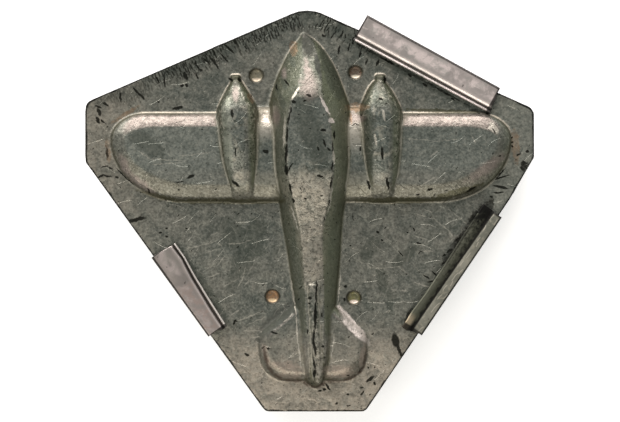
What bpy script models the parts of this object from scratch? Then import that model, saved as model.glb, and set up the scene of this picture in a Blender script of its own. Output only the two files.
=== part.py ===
"""A two-part chocolate mould for a twin-engined aeroplane.

Two halves are pressed from thin sheet metal. Their flat flanges meet face to face, four dimples
in one flange nest in four in the other, and three folded spring clips grip the edges.

Metres, +Z up. The mould lies on its back half. X runs along the wings and +Y points to the nose.
The origin is below the middle of the flanges' outline, on the surface that the mould lies on.
"""

import math

import bmesh
import bpy
from mathutils import Vector

# The pressed sheet, and the gap that is left between the two flanges
SHEET = 0.0007
PARTING_GAP = 0.0003

# The fuselage, measured on the outside of the pressing, with lengths taken from the nose
FUSELAGE_LENGTH = 0.1346
FUSELAGE_WIDTH = 0.0307
WIDEST = 0.0272
TAIL_WIDTH = 0.0106
TAIL_ROUNDING = 0.0070
TAIL_DROP = 0.9
NOSE_FULLNESS = 2.0
TAPER_FULLNESS = 1.1
NOSE_X = -0.0014
TAIL_X = 0.0022
CANOPY_START = 0.0247
CANOPY_END = 0.0510
WAIST = 0.0750
CANOPY_WIDTH = 0.0180
CANOPY_NOSE_WIDTH = 0.0130
WAIST_CROWN_WIDTH = 0.0078
TAIL_CROWN_WIDTH = 0.0068
NOSE_SLOPE = 1.5
CROWN_NOSE_SPREAD = 0.8
CROWN_SPREAD_RUN = 0.625
WIDEST_CROWN = 0.86
BELLY_END = 0.0760
BELLY_FALL = 1.2

# A fuselage section's wall, as shares of the way out from the crown and of the way up
SHOULDER_OUT, SHOULDER_UP = 0.42, 0.72
FLANK_OUT, FLANK_UP = 0.78, 0.38

# Heights of the outside of the pressings, above the faces where the halves meet
CANOPY_HEIGHT = 0.0130
WAIST_HEIGHT = 0.0085
TAIL_HEIGHT = 0.0060
CROWN_DROP = 0.0006
BELLY_HEIGHT = 0.0120
BELLY_TAIL_HEIGHT = 0.0055
WING_HEIGHT = 0.0052
WING_BACK_HEIGHT = 0.0050
NACELLE_HEIGHT = 0.0104
NACELLE_BACK_HEIGHT = 0.0098
TAILPLANE_HEIGHT = 0.0040
TAILPLANE_BACK_HEIGHT = 0.0036
FIN_HEIGHT = 0.0016

# The wings
WING_HALF_SPAN = 0.0764
WING_CHORD = 0.0339
WING_SETBACK = 0.0302
WING_X = 0.0005
TIP_FRONT_LENGTH = 0.0130
TIP_FRONT_DEPTH = 0.0115
TIP_REAR_LENGTH = 0.0280
LEADING_ROUNDING = 0.0048
TRAILING_ROUNDING = 0.0085
TIP_ROUNDING = 0.0060
EDGE_START = math.radians(12)

# The two engine nacelles and the square bosses at their noses
NACELLE_SETBACK = 0.0167
NACELLE_LENGTH = 0.0460
NACELLE_WIDTH = 0.0152
NACELLE_WIDEST = 0.0100
NACELLE_TAIL_WIDTH = 0.0098
NACELLE_FULLNESS = 1.5
NACELLE_TAPER = 1.25
NACELLE_PEAK = 0.0195
NACELLE_NOSE_DROP = 0.92
NACELLE_NOSE_SLOPE = 1.9
NACELLE_TAIL_HEIGHT = 0.0030
NACELLE_FALL = 2.6
LEFT_NACELLE_NOSE_X = -0.0281
LEFT_NACELLE_TAIL_X = -0.0256
RIGHT_NACELLE_NOSE_X = 0.0265
RIGHT_NACELLE_TAIL_X = 0.0277
BOSS_WIDTH = 0.0038
BOSS_TOP_WIDTH = 0.0032
BOSS_HEIGHT = 0.0030
BOSS_REACH = 0.0010
BOSS_OVERLAP = 0.0045

# The tailplane and the fin
TAILPLANE_HALF_SPAN = 0.0211
TAILPLANE_SETBACK = 0.0985
TAILPLANE_TIP_SETBACK = 0.1160
TAILPLANE_REAR = 0.1324
TAILPLANE_REAR_HALF_SPAN = 0.0203
TAILPLANE_TIP_RADIUS = 0.0015
TAILPLANE_CORNER_RADIUS = 0.0076
TAILPLANE_ROUNDING = 0.0036
FIN_START = 0.0950
FIN_WIDTH = 0.0034
FIN_TAIL_GAP = 0.0020
FIN_CHAMFER = 0.0006
FIN_TOP_SHARE = 0.55
FIN_PROFILE = ((0.0, 0.15), (0.12, 0.8), (0.85, 1.0), (1.0, 0.1))

# The flanges round the figure
NOSE_MARGIN = 0.0086
TAIL_MARGIN = 0.0093
SIDE_MARGIN = 0.0089
APEX_X = -0.0010
APEX_RADIUS = 0.0145
SHOULDER_RADIUS = 0.0036
HIP_RADIUS = 0.0020
FOOT_RADIUS = 0.0030
LEFT_SHOULDER_RISE = 0.00505
RIGHT_SHOULDER_RISE = 0.0026
LEFT_SIDE_LENGTH = 0.02515
RIGHT_SIDE_LENGTH = 0.0211
FOOT_WIDTH = 0.0409
FOOT_X = 0.0021
BOW_SETBACK = 0.0184
BOW_RISE = 0.00107
BOW_RADIUS = 0.0200

# The dimples that locate the halves: cones at 45 degrees
PIP_RADIUS = 0.00265
PIP_DEPTH = 0.0013
UPPER_PIP_SETBACK = 0.0156
LOWER_PIP_SETBACK = 0.1004
LEFT_UPPER_PIP_X = -0.0203
RIGHT_UPPER_PIP_X = 0.0174
LEFT_LOWER_PIP_X = -0.0142
RIGHT_LOWER_PIP_X = 0.0168

# The spring clips
CLIP_SHEET = 0.0006
CLIP_GAP = 0.0003
CLIP_LEG_HEIGHT = 0.0026
CLIP_BEND_RADIUS = 0.0011
KNEE_RADIUS = 0.0006
PINCH_RADIUS = 0.0004
LEG_FALL = 0.04
LIP_RISE = 0.0011
FLARED_LIP_RISE = 0.0028
CLIP_SLOPE = 0.0013

UPPER_CLIP_LENGTH = 0.0575
UPPER_CLIP_START = 0.0155
UPPER_CLIP_WIDTH = 0.0104
UPPER_CLIP_OVERHANG_START = 0.0065
UPPER_CLIP_OVERHANG_END = 0.0019
UPPER_CLIP_LIP = 0.0014

LEFT_CLIP_LENGTH = 0.0370
LEFT_CLIP_START = 0.0436
LEFT_CLIP_TOP_WIDTH = 0.0103
LEFT_CLIP_FOOT_WIDTH = 0.0083
LEFT_CLIP_OVERHANG = 0.0009
LEFT_CLIP_LIP = 0.0014

RIGHT_CLIP_LENGTH = 0.0541
RIGHT_CLIP_START = 0.0066
RIGHT_CLIP_WIDTH = 0.0086
RIGHT_CLIP_OVERHANG = 0.0014
RIGHT_CLIP_LIP = 0.0045
RIGHT_CLIP_SLOPE = 0.0021

# How finely the curves are cut
ARC_STEP = math.radians(15)
SMOOTH_BELOW = math.radians(35)
QUARTER_STEPS = 7
ROUNDING_LEVELS = 4
TAILPLANE_LEVELS = 3
NOSE_STATIONS = 7
CANOPY_STATIONS = 4
WAIST_STATIONS = 6
TAPER_STATIONS = 8
TAIL_STATIONS = 4
NACELLE_NOSE_STATIONS = 6
NACELLE_TAIL_STATIONS = 6
NACELLE_ARC_STEPS = 10
PIP_SIDES = 16
CLIP_BEND_STEPS = 4
KNEE_STEPS = 2
SHARPEST_MITRE = 0.3

# Where things come to, worked out from the sizes above
PLATE_HEIGHT = NOSE_MARGIN + FUSELAGE_LENGTH + TAIL_MARGIN
TOP_Y = PLATE_HEIGHT / 2
FOOT_Y = -PLATE_HEIGHT / 2
NOSE_Y = TOP_Y - NOSE_MARGIN
PLATE_HALF_WIDTH = WING_HALF_SPAN + SIDE_MARGIN
LEADING_Y = NOSE_Y - WING_SETBACK
BACK_FACE_Z = BELLY_HEIGHT
FRONT_FACE_Z = BELLY_HEIGHT + PARTING_GAP
MIDDLE_Z = BELLY_HEIGHT + PARTING_GAP / 2
WALL_SPREAD = 1.15
TAILPLANE_WALL_SPREAD = 1.3
EMBED = SHEET * 0.3
CUT_BELOW = 0.0015
LEAST_HALF_WIDTH = 0.0002
LEAST_RISE = SHEET * 1.6
WALL_FOOT = SHEET * 0.6


def clear_scene():
    for item in list(bpy.data.objects):
        bpy.data.objects.remove(item)


def metal(name, colour, roughness):
    material = bpy.data.materials.new(name)
    material.use_nodes = True
    shader = material.node_tree.nodes["Principled BSDF"]
    shader.inputs["Base Color"].default_value = (*colour, 1)
    shader.inputs["Roughness"].default_value = roughness
    shader.inputs["Metallic"].default_value = 1.0
    material.diffuse_color = (*colour, 1)
    return material


def blend(a, b, share):
    return a + (b - a) * share


def ease(share):
    """A smooth step from 0 to 1."""
    return share * share * (3 - 2 * share)


def shade(data):
    data.shade_smooth()
    data.set_sharp_from_angle(angle=SMOOTH_BELOW)


def loft(name, rings, material=None):
    """A closed body through rings of the same number of points, capped at both ends."""
    mesh = bmesh.new()
    loops = [[mesh.verts.new(point) for point in ring] for ring in rings]
    for near, far in zip(loops, loops[1:]):
        for i in range(len(near)):
            j = (i + 1) % len(near)
            mesh.faces.new((near[i], near[j], far[j], far[i]))
    mesh.faces.new(loops[0])
    mesh.faces.new(loops[-1])
    bmesh.ops.recalc_face_normals(mesh, faces=mesh.faces)
    data = bpy.data.meshes.new(name)
    mesh.to_mesh(data)
    mesh.free()
    shade(data)
    if material:
        data.materials.append(material)
    body = bpy.data.objects.new(name, data)
    bpy.context.scene.collection.objects.link(body)
    return body


def helper(body):
    """Keeps a body as a Boolean's operand only."""
    body.hide_render = True
    body.display_type = "WIRE"
    return body


def combine(body, other, operation):
    boolean = body.modifiers.new(other.name, "BOOLEAN")
    boolean.operation = operation
    boolean.solver = "EXACT"
    boolean.object = helper(other)


def settle(body):
    """Makes the Booleans' result the body's own mesh, and removes their operands."""
    graph = bpy.context.evaluated_depsgraph_get()
    result = bpy.data.meshes.new_from_object(body.evaluated_get(graph))
    operands = [modifier.object for modifier in body.modifiers]
    body.modifiers.clear()
    body.data = result
    shade(result)
    for operand in operands:
        bpy.data.objects.remove(operand)


def corner_circles():
    """(centre, radius) of each corner of the flanges, anticlockwise from the apex."""
    left_top = LEADING_Y + LEFT_SHOULDER_RISE
    right_top = LEADING_Y + RIGHT_SHOULDER_RISE
    side = PLATE_HALF_WIDTH
    foot = FOOT_WIDTH / 2
    right_foot = (Vector((FOOT_X + foot - FOOT_RADIUS, FOOT_Y + FOOT_RADIUS)), FOOT_RADIUS)
    right_hip = (Vector((side - HIP_RADIUS, right_top - RIGHT_SIDE_LENGTH + HIP_RADIUS)), HIP_RADIUS)
    return [
        (Vector((APEX_X, TOP_Y - APEX_RADIUS)), APEX_RADIUS),
        (Vector((SHOULDER_RADIUS - side, left_top - SHOULDER_RADIUS)), SHOULDER_RADIUS),
        (Vector((HIP_RADIUS - side, left_top - LEFT_SIDE_LENGTH + HIP_RADIUS)), HIP_RADIUS),
        (Vector((FOOT_X - foot + FOOT_RADIUS, FOOT_Y + FOOT_RADIUS)), FOOT_RADIUS),
        right_foot,
        bow_circle(right_foot, right_hip),
        right_hip,
        (Vector((side - SHOULDER_RADIUS, right_top - SHOULDER_RADIUS)), SHOULDER_RADIUS),
    ]


def bow_circle(foot, hip):
    """The bow in the lower right edge: it stands a little outside the straight run from foot to hip."""
    start, end, normal = belt_edges([foot, hip])[0]
    along = (end - start).normalized()
    return end - along * BOW_SETBACK + normal * (BOW_RISE - BOW_RADIUS), BOW_RADIUS


def belt_edges(circles):
    """The straight runs of a belt round the circles: (start, end, outward normal) of each."""
    edges = []
    for i, (centre, radius) in enumerate(circles):
        next_centre, next_radius = circles[(i + 1) % len(circles)]
        run = next_centre - centre
        turn = math.acos((radius - next_radius) / run.length)
        heading = math.atan2(run.y, run.x) - turn
        normal = Vector((math.cos(heading), math.sin(heading)))
        edges.append((centre + normal * radius, next_centre + normal * next_radius, normal))
    return edges


def belt_outline(circles):
    """The belt as points, with its bends as arcs."""
    edges = belt_edges(circles)
    outline = []
    for i, (centre, radius) in enumerate(circles):
        before, after = edges[i - 1][2], edges[i][2]
        start = math.atan2(before.y, before.x)
        sweep = (math.atan2(after.y, after.x) - start) % math.tau
        steps = max(1, math.ceil(sweep / ARC_STEP))
        for k in range(steps + 1):
            angle = start + sweep * k / steps
            outline.append(centre + Vector((math.cos(angle), math.sin(angle))) * radius)
    return outline


def at_height(outline, z):
    return [Vector((point.x, point.y, z)) for point in outline]


def axis_x(distance):
    """The fuselage's axis, which leans a little across the plate."""
    return blend(NOSE_X, TAIL_X, distance / FUSELAGE_LENGTH)


def fuselage_half_width(distance):
    if distance < WIDEST:
        ahead = (WIDEST - distance) / WIDEST
        return FUSELAGE_WIDTH / 2 * (1 - ahead**NOSE_FULLNESS)
    behind = (distance - WIDEST) / (FUSELAGE_LENGTH - WIDEST)
    width = blend(FUSELAGE_WIDTH, TAIL_WIDTH, behind**TAPER_FULLNESS) / 2
    into_end = max(0.0, distance - (FUSELAGE_LENGTH - TAIL_ROUNDING)) / TAIL_ROUNDING
    return width * math.sqrt(max(0.0, 1 - into_end**2))


def crown_half_width(distance):
    """Half the width of the flatter top of the fuselage."""
    if distance < CANOPY_START:
        width = CANOPY_NOSE_WIDTH * (distance / CANOPY_START) ** CROWN_NOSE_SPREAD
    elif distance < CANOPY_END:
        share = (distance - CANOPY_START) / (CANOPY_END - CANOPY_START)
        width = blend(CANOPY_NOSE_WIDTH, CANOPY_WIDTH, ease(min(1.0, share / CROWN_SPREAD_RUN)))
    elif distance < WAIST:
        width = blend(CANOPY_WIDTH, WAIST_CROWN_WIDTH, ease((distance - CANOPY_END) / (WAIST - CANOPY_END)))
    else:
        share = (distance - WAIST) / (FUSELAGE_LENGTH - WAIST)
        width = blend(WAIST_CROWN_WIDTH, TAIL_CROWN_WIDTH, share)
    return min(width / 2, fuselage_half_width(distance) * WIDEST_CROWN)


def nose_rise(distance):
    return 1 - max(0.0, (CANOPY_START - distance) / CANOPY_START) ** NOSE_SLOPE


def tail_fall(distance):
    """Rounds the end of the fuselage down to the flange."""
    into_end = max(0.0, distance - (FUSELAGE_LENGTH - TAIL_ROUNDING)) / TAIL_ROUNDING
    return math.sqrt(max(0.0, 1 - TAIL_DROP * into_end**2))


def canopy_height(distance):
    if distance < CANOPY_END:
        return CANOPY_HEIGHT * nose_rise(distance)
    if distance < WAIST:
        share = (distance - CANOPY_END) / (WAIST - CANOPY_END)
        return blend(CANOPY_HEIGHT, WAIST_HEIGHT, blend(share, ease(share), 0.5))
    share = (distance - WAIST) / (FUSELAGE_LENGTH - WAIST)
    return blend(WAIST_HEIGHT, TAIL_HEIGHT, share) * tail_fall(distance)


def belly_height(distance):
    if distance < BELLY_END:
        return BELLY_HEIGHT * nose_rise(distance)
    share = (distance - BELLY_END) / (FUSELAGE_LENGTH - BELLY_END)
    return blend(BELLY_HEIGHT, BELLY_TAIL_HEIGHT, share**BELLY_FALL) * tail_fall(distance)


def fuselage_distances(skin):
    """Where the fuselage's sections are, measured from the nose."""
    first, last = 0.0003 + skin * 2, FUSELAGE_LENGTH - 0.0001 - skin
    flat_end = max(CANOPY_END, BELLY_END)
    round_start = FUSELAGE_LENGTH - TAIL_ROUNDING
    nose = [blend(first, CANOPY_START, (i / NOSE_STATIONS) ** 1.3) for i in range(NOSE_STATIONS)]
    canopy = [blend(CANOPY_START, CANOPY_END, i / CANOPY_STATIONS) for i in range(CANOPY_STATIONS)]
    waist = [blend(CANOPY_END, flat_end, i / WAIST_STATIONS) for i in range(WAIST_STATIONS + 1)]
    taper = [blend(flat_end, round_start, i / TAPER_STATIONS) for i in range(1, TAPER_STATIONS)]
    tail = [
        blend(round_start, last, math.sin(math.pi / 2 * i / TAIL_STATIONS))
        for i in range(TAIL_STATIONS + 1)
    ]
    return nose + canopy + waist + taper + tail


def fuselage_section(half_width, crown, height, drop, floor):
    """Half of a section, from the middle of the crown down to the base."""
    wall = half_width - crown
    return [
        (crown * 0.5, height - drop * 0.25),
        (crown, height - drop),
        (crown + wall * SHOULDER_OUT, height * SHOULDER_UP),
        (crown + wall * FLANK_OUT, height * FLANK_UP),
        (half_width, max(floor, 0) + WALL_FOOT),
        (half_width, floor),
    ]


def fuselage(name, heights, drop, side, skin, floor):
    """The fuselage of one half. With a skin it is the hollow, that much inside the outer form."""
    rings = []
    for distance in fuselage_distances(skin):
        half_width = max(fuselage_half_width(distance) - skin * WALL_SPREAD, LEAST_HALF_WIDTH)
        crown = max(crown_half_width(distance) - skin * 0.5, LEAST_HALF_WIDTH / 2)
        height = max(heights(distance) - skin, LEAST_RISE - skin)
        half = fuselage_section(half_width, crown, height, drop * height / CANOPY_HEIGHT, floor)
        section = [(0, height)] + half + [(-x, z) for x, z in reversed(half)]
        middle, y = axis_x(distance), NOSE_Y - distance
        rings.append([Vector((middle + x, y, side * z)) for x, z in section])
    return loft(name, rings)


def wing_outline(leading, trailing, tip):
    """The wings' outline, anticlockwise, drawn in by the given amounts at its edges.

    Two quarter ellipses share the point at each tip, which is kept once.
    """
    middle_y = LEADING_Y - TIP_FRONT_DEPTH
    rear_depth = WING_CHORD - TIP_FRONT_DEPTH
    outline = []
    corners = ((1, 1), (-1, 1), (-1, -1), (1, -1))
    for quarter, (way_x, way_y) in enumerate(corners):
        length = TIP_FRONT_LENGTH if way_y > 0 else TIP_REAR_LENGTH
        depth = TIP_FRONT_DEPTH - leading if way_y > 0 else rear_depth - trailing
        for k in range(QUARTER_STEPS + 1):
            angle = math.pi / 2 * (quarter + k / QUARTER_STEPS)
            x = way_x * (WING_HALF_SPAN - length) + (length - tip) * math.cos(angle)
            outline.append(Vector((WING_X + x, middle_y + depth * math.sin(angle))))
        if way_x != way_y:
            outline.pop()
    return outline


def rounding(levels):
    """(share of the height, share of the rounding's width) up a rounded edge."""
    for k in range(levels + 1):
        angle = blend(EDGE_START, math.pi / 2, k / levels)
        yield math.sin(angle), 1 - math.cos(angle)


def wings(name, height, side, skin, floor):
    rings = [at_height(wing_outline(skin, skin, skin), side * floor)]
    for rise, run in rounding(ROUNDING_LEVELS):
        outline = wing_outline(
            skin + (LEADING_ROUNDING - skin) * run,
            skin + (TRAILING_ROUNDING - skin) * run,
            skin + (TIP_ROUNDING - skin) * run,
        )
        rings.append(at_height(outline, side * (height - skin) * rise))
    return loft(name, rings)


def nacelle_half_width(distance):
    if distance < NACELLE_WIDEST:
        ahead = (NACELLE_WIDEST - distance) / NACELLE_WIDEST
        return NACELLE_WIDTH / 2 * (1 - ahead**NACELLE_FULLNESS)
    behind = (distance - NACELLE_WIDEST) / (NACELLE_LENGTH - NACELLE_WIDEST)
    return blend(NACELLE_WIDTH, NACELLE_TAIL_WIDTH, behind**NACELLE_TAPER) / 2


def nacelle_rise(distance, height):
    if distance < NACELLE_PEAK:
        ahead = (NACELLE_PEAK - distance) / NACELLE_PEAK
        return height * (1 - NACELLE_NOSE_DROP * ahead**NACELLE_NOSE_SLOPE)
    behind = (distance - NACELLE_PEAK) / (NACELLE_LENGTH - NACELLE_PEAK)
    return blend(height, NACELLE_TAIL_HEIGHT, behind**NACELLE_FALL)


def nacelle(name, nose_x, tail_x, height, side, skin, floor):
    """One nacelle: half-round sections from its nose back over the wing."""
    first, last = 0.0003 + skin * 1.6, NACELLE_LENGTH - skin
    nose = [
        blend(first, NACELLE_PEAK, (i / NACELLE_NOSE_STATIONS) ** 1.3)
        for i in range(NACELLE_NOSE_STATIONS)
    ]
    tail = [
        blend(NACELLE_PEAK, last, i / NACELLE_TAIL_STATIONS)
        for i in range(NACELLE_TAIL_STATIONS + 1)
    ]
    rings = []
    for distance in nose + tail:
        half_width = max(nacelle_half_width(distance) - skin, LEAST_HALF_WIDTH)
        top = max(nacelle_rise(distance, height) - skin, LEAST_RISE - skin)
        middle = blend(nose_x, tail_x, distance / NACELLE_LENGTH)
        y = NOSE_Y - NACELLE_SETBACK - distance
        section = []
        for k in range(NACELLE_ARC_STEPS + 1):
            angle = math.pi * k / NACELLE_ARC_STEPS
            section.append((half_width * math.cos(angle), max(floor, top * math.sin(angle))))
        section[0] = (half_width, max(floor, 0) + WALL_FOOT)
        section[-1] = (-half_width, max(floor, 0) + WALL_FOOT)
        section = [(half_width, floor)] + section + [(-half_width, floor)]
        rings.append([Vector((middle + x, y, side * z)) for x, z in section])
    return loft(name, rings)


def boss(name, nose_x, side, skin, floor):
    """The small square boss at a nacelle's nose."""
    front = NOSE_Y - NACELLE_SETBACK + BOSS_REACH - skin
    back = NOSE_Y - NACELLE_SETBACK - BOSS_OVERLAP + skin
    rings = []
    for z, half_width in ((floor, BOSS_WIDTH / 2), (BOSS_HEIGHT - skin, BOSS_TOP_WIDTH / 2)):
        half = half_width - skin
        corners = [(half, back), (half, front), (-half, front), (-half, back)]
        rings.append([Vector((nose_x + x, y, side * z)) for x, y in corners])
    return loft(name, rings)


def tailplane(name, height, side, skin, floor):
    middle = axis_x(TAILPLANE_TIP_SETBACK)
    tip = TAILPLANE_HALF_SPAN - TAILPLANE_TIP_RADIUS
    corner = TAILPLANE_REAR_HALF_SPAN - TAILPLANE_CORNER_RADIUS
    tip_y = NOSE_Y - TAILPLANE_TIP_SETBACK
    rear_y = NOSE_Y - TAILPLANE_REAR + TAILPLANE_CORNER_RADIUS
    front_y = NOSE_Y - TAILPLANE_SETBACK
    outline = belt_outline([
        (Vector((middle, front_y)), TAILPLANE_TIP_RADIUS),
        (Vector((middle - tip, tip_y)), TAILPLANE_TIP_RADIUS),
        (Vector((middle - corner, rear_y)), TAILPLANE_CORNER_RADIUS),
        (Vector((middle + corner, rear_y)), TAILPLANE_CORNER_RADIUS),
        (Vector((middle + tip, tip_y)), TAILPLANE_TIP_RADIUS),
    ])
    centre = Vector((middle, blend(tip_y, rear_y, 0.5)))
    reach = TAILPLANE_HALF_SPAN

    def drawn_in(amount, z):
        scale = (reach - amount) / reach
        return at_height([centre + (point - centre) * scale for point in outline], z)

    wall = skin * TAILPLANE_WALL_SPREAD
    rings = [drawn_in(wall, side * floor)]
    for rise, run in rounding(TAILPLANE_LEVELS):
        amount = wall + (TAILPLANE_ROUNDING - skin / 2) * run
        rings.append(drawn_in(amount, side * (height - skin) * rise))
    return loft(name, rings)


def fin(name, skin):
    """The ridge of the fin, along the top of the tail."""
    first = FIN_START + skin
    last = FUSELAGE_LENGTH - FIN_TAIL_GAP - skin * 2
    rings = []
    for share, rise in FIN_PROFILE:
        distance = blend(first, last, share)
        base = canopy_height(distance) / 2
        top = canopy_height(distance) + FIN_HEIGHT * rise - skin
        half = FIN_WIDTH / 2 - skin
        section = [(half, base), (half, top - FIN_CHAMFER), (half * FIN_TOP_SHARE, top)]
        section += [(-x, z) for x, z in reversed(section)]
        y = NOSE_Y - distance
        rings.append([Vector((axis_x(distance) + x, y, z)) for x, z in section])
    return loft(name, rings)


def pip_places():
    upper, lower = NOSE_Y - UPPER_PIP_SETBACK, NOSE_Y - LOWER_PIP_SETBACK
    return [
        (LEFT_UPPER_PIP_X, upper),
        (RIGHT_UPPER_PIP_X, upper),
        (LEFT_LOWER_PIP_X, lower),
        (RIGHT_LOWER_PIP_X, lower),
    ]


def cone(name, x, y, wide_z, wide_radius, narrow_z, narrow_radius):
    rings = []
    for z, radius in ((wide_z, wide_radius), (narrow_z, narrow_radius)):
        angles = [math.tau * k / PIP_SIDES for k in range(PIP_SIDES)]
        rings.append([Vector((x + radius * math.cos(a), y + radius * math.sin(a), z)) for a in angles])
    return loft(name, rings)


def add_pips(body, name, raised_face, sunk_face, way):
    """Presses the dimples in: a cone stands out of raised_face and one is sunk into sunk_face."""
    narrow = PIP_RADIUS - PIP_DEPTH
    clear = SHEET / 2
    for i, (x, y) in enumerate(pip_places()):
        start = raised_face - way * clear
        bump = cone(f"{name}_pip_bump_{i}", x, y, start, PIP_RADIUS, raised_face + way * PIP_DEPTH, narrow)
        combine(body, bump, "UNION")
        start = sunk_face - way * clear
        end = sunk_face + way * PIP_DEPTH
        dent = cone(f"{name}_pip_dent_{i}", x, y, start, PIP_RADIUS + clear, end, narrow)
        combine(body, dent, "DIFFERENCE")


def forms(name, side, front, skin, floor):
    """The figure's forms for one half, as outer forms or, with a skin, as the hollows in them."""
    wing_height = WING_HEIGHT if front else WING_BACK_HEIGHT
    nacelle_height = NACELLE_HEIGHT if front else NACELLE_BACK_HEIGHT
    tail_height = TAILPLANE_HEIGHT if front else TAILPLANE_BACK_HEIGHT
    heights, drop = (canopy_height, CROWN_DROP) if front else (belly_height, 0.0)
    left = (LEFT_NACELLE_NOSE_X, LEFT_NACELLE_TAIL_X)
    right = (RIGHT_NACELLE_NOSE_X, RIGHT_NACELLE_TAIL_X)
    made = [
        wings(f"{name}_wings", wing_height, side, skin, floor),
        fuselage(f"{name}_fuselage", heights, drop, side, skin, floor),
        nacelle(f"{name}_left_nacelle", *left, nacelle_height, side, skin, floor),
        nacelle(f"{name}_right_nacelle", *right, nacelle_height, side, skin, floor),
        boss(f"{name}_left_boss", left[0], side, skin, floor),
        boss(f"{name}_right_boss", right[0], side, skin, floor),
        tailplane(f"{name}_tailplane", tail_height, side, skin, floor),
    ]
    if front:
        made.append(fin(f"{name}_fin", skin))
    return made


def half_of_mould(name, side, face_z, material):
    """One pressed half. side is 1 for the front, which rises, and -1 for the back."""
    outline = belt_outline(corner_circles())
    flange = [at_height(outline, 0), at_height(outline, side * SHEET)]
    body = loft(name, flange, material)
    front = side > 0
    helpers = forms(f"{name}_form", side, front, 0.0, EMBED)
    for form in helpers:
        combine(body, form, "UNION")
    hollows = forms(f"{name}_hollow", side, front, SHEET, -CUT_BELOW)
    for hollow in hollows:
        combine(body, hollow, "DIFFERENCE")
    if front:
        add_pips(body, name, raised_face=0, sunk_face=SHEET, way=-1)
    else:
        add_pips(body, name, raised_face=-SHEET, sunk_face=0, way=-1)
    settle(body)
    body.location.z = face_z
    return body


def offset_path(path, distance):
    """The path moved sideways by a distance, to its left."""
    moved = []
    for i, point in enumerate(path):
        before = (point - path[i - 1]).normalized() if i else None
        after = (path[i + 1] - point).normalized() if i + 1 < len(path) else None
        first, second = before or after, after or before
        along = (first + second).normalized()
        reach = distance / max(SHARPEST_MITRE, along.dot(first))
        moved.append(point + Vector((-along.y, along.x)) * reach)
    return moved


def bend(corner, before, after, radius, steps):
    """Points of an arc that rounds the corner between two straight runs."""
    into, out = (corner - before).normalized(), (after - corner).normalized()
    turn = into.angle_signed(out)
    reach = abs(radius * math.tan(turn / 2))
    start, end = corner - into * reach, corner + out * reach
    centre = start + Vector((into.y, -into.x)) * radius * (1 if turn > 0 else -1)
    spoke = start - centre
    sweep = (end - centre).angle_signed(spoke)
    points = []
    for k in range(steps + 1):
        angle = sweep * k / steps
        cos, sin = math.cos(angle), math.sin(angle)
        points.append(centre + Vector((spoke.x * cos - spoke.y * sin, spoke.x * sin + spoke.y * cos)))
    return points


def clip_section(width, lip, slope, lip_rise):
    """A clip's section as (inward, up) points: back, two legs, pinch lines and turned-out lips."""
    half_sheet = CLIP_SHEET / 2
    pinch_up = SHEET + PARTING_GAP / 2 + CLIP_GAP + half_sheet
    leg_up = max(CLIP_LEG_HEIGHT, pinch_up + half_sheet)
    pinch_in = width - lip
    knee_in = pinch_in - slope
    back = Vector((half_sheet, 0))
    corner = Vector((half_sheet, leg_up))
    knee = Vector((knee_in, leg_up - LEG_FALL * (knee_in - half_sheet)))
    pinch = Vector((pinch_in, pinch_up))
    end = Vector((width, pinch_up + lip_rise))
    upper = [back]
    upper += bend(corner, back, knee, CLIP_BEND_RADIUS, CLIP_BEND_STEPS)
    upper += bend(knee, corner, pinch, KNEE_RADIUS, KNEE_STEPS)
    upper += bend(pinch, knee, end, PINCH_RADIUS, KNEE_STEPS)
    upper.append(end)
    path = [Vector((point.x, -point.y)) for point in reversed(upper[1:])] + upper
    return offset_path(path, half_sheet) + list(reversed(offset_path(path, -half_sheet)))


def clip(name, edge, start, length, overhangs, widths, lip, slope, lip_rise, material):
    """A clip on one edge of the flanges. Overhangs and widths are given at its two ends.

    It is modelled along its own Y with X pointing in over the flanges, then turned into place.
    """
    begin, _, normal = edge
    along = Vector((-normal.y, normal.x))
    first = begin + along * start + normal * overhangs[0]
    last = begin + along * (start + length) + normal * overhangs[1]
    run = (last - first).normalized()
    rings = []
    for y, width in zip((length / 2, -length / 2), widths):
        section = clip_section(width, lip, slope, lip_rise)
        rings.append([Vector((point.x, y, point.y)) for point in section])
    body = loft(name, rings, material)
    middle = first + run * length / 2
    body.location = (middle.x, middle.y, MIDDLE_Z)
    body.rotation_euler.z = math.atan2(run.x, -run.y)
    return body


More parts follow.
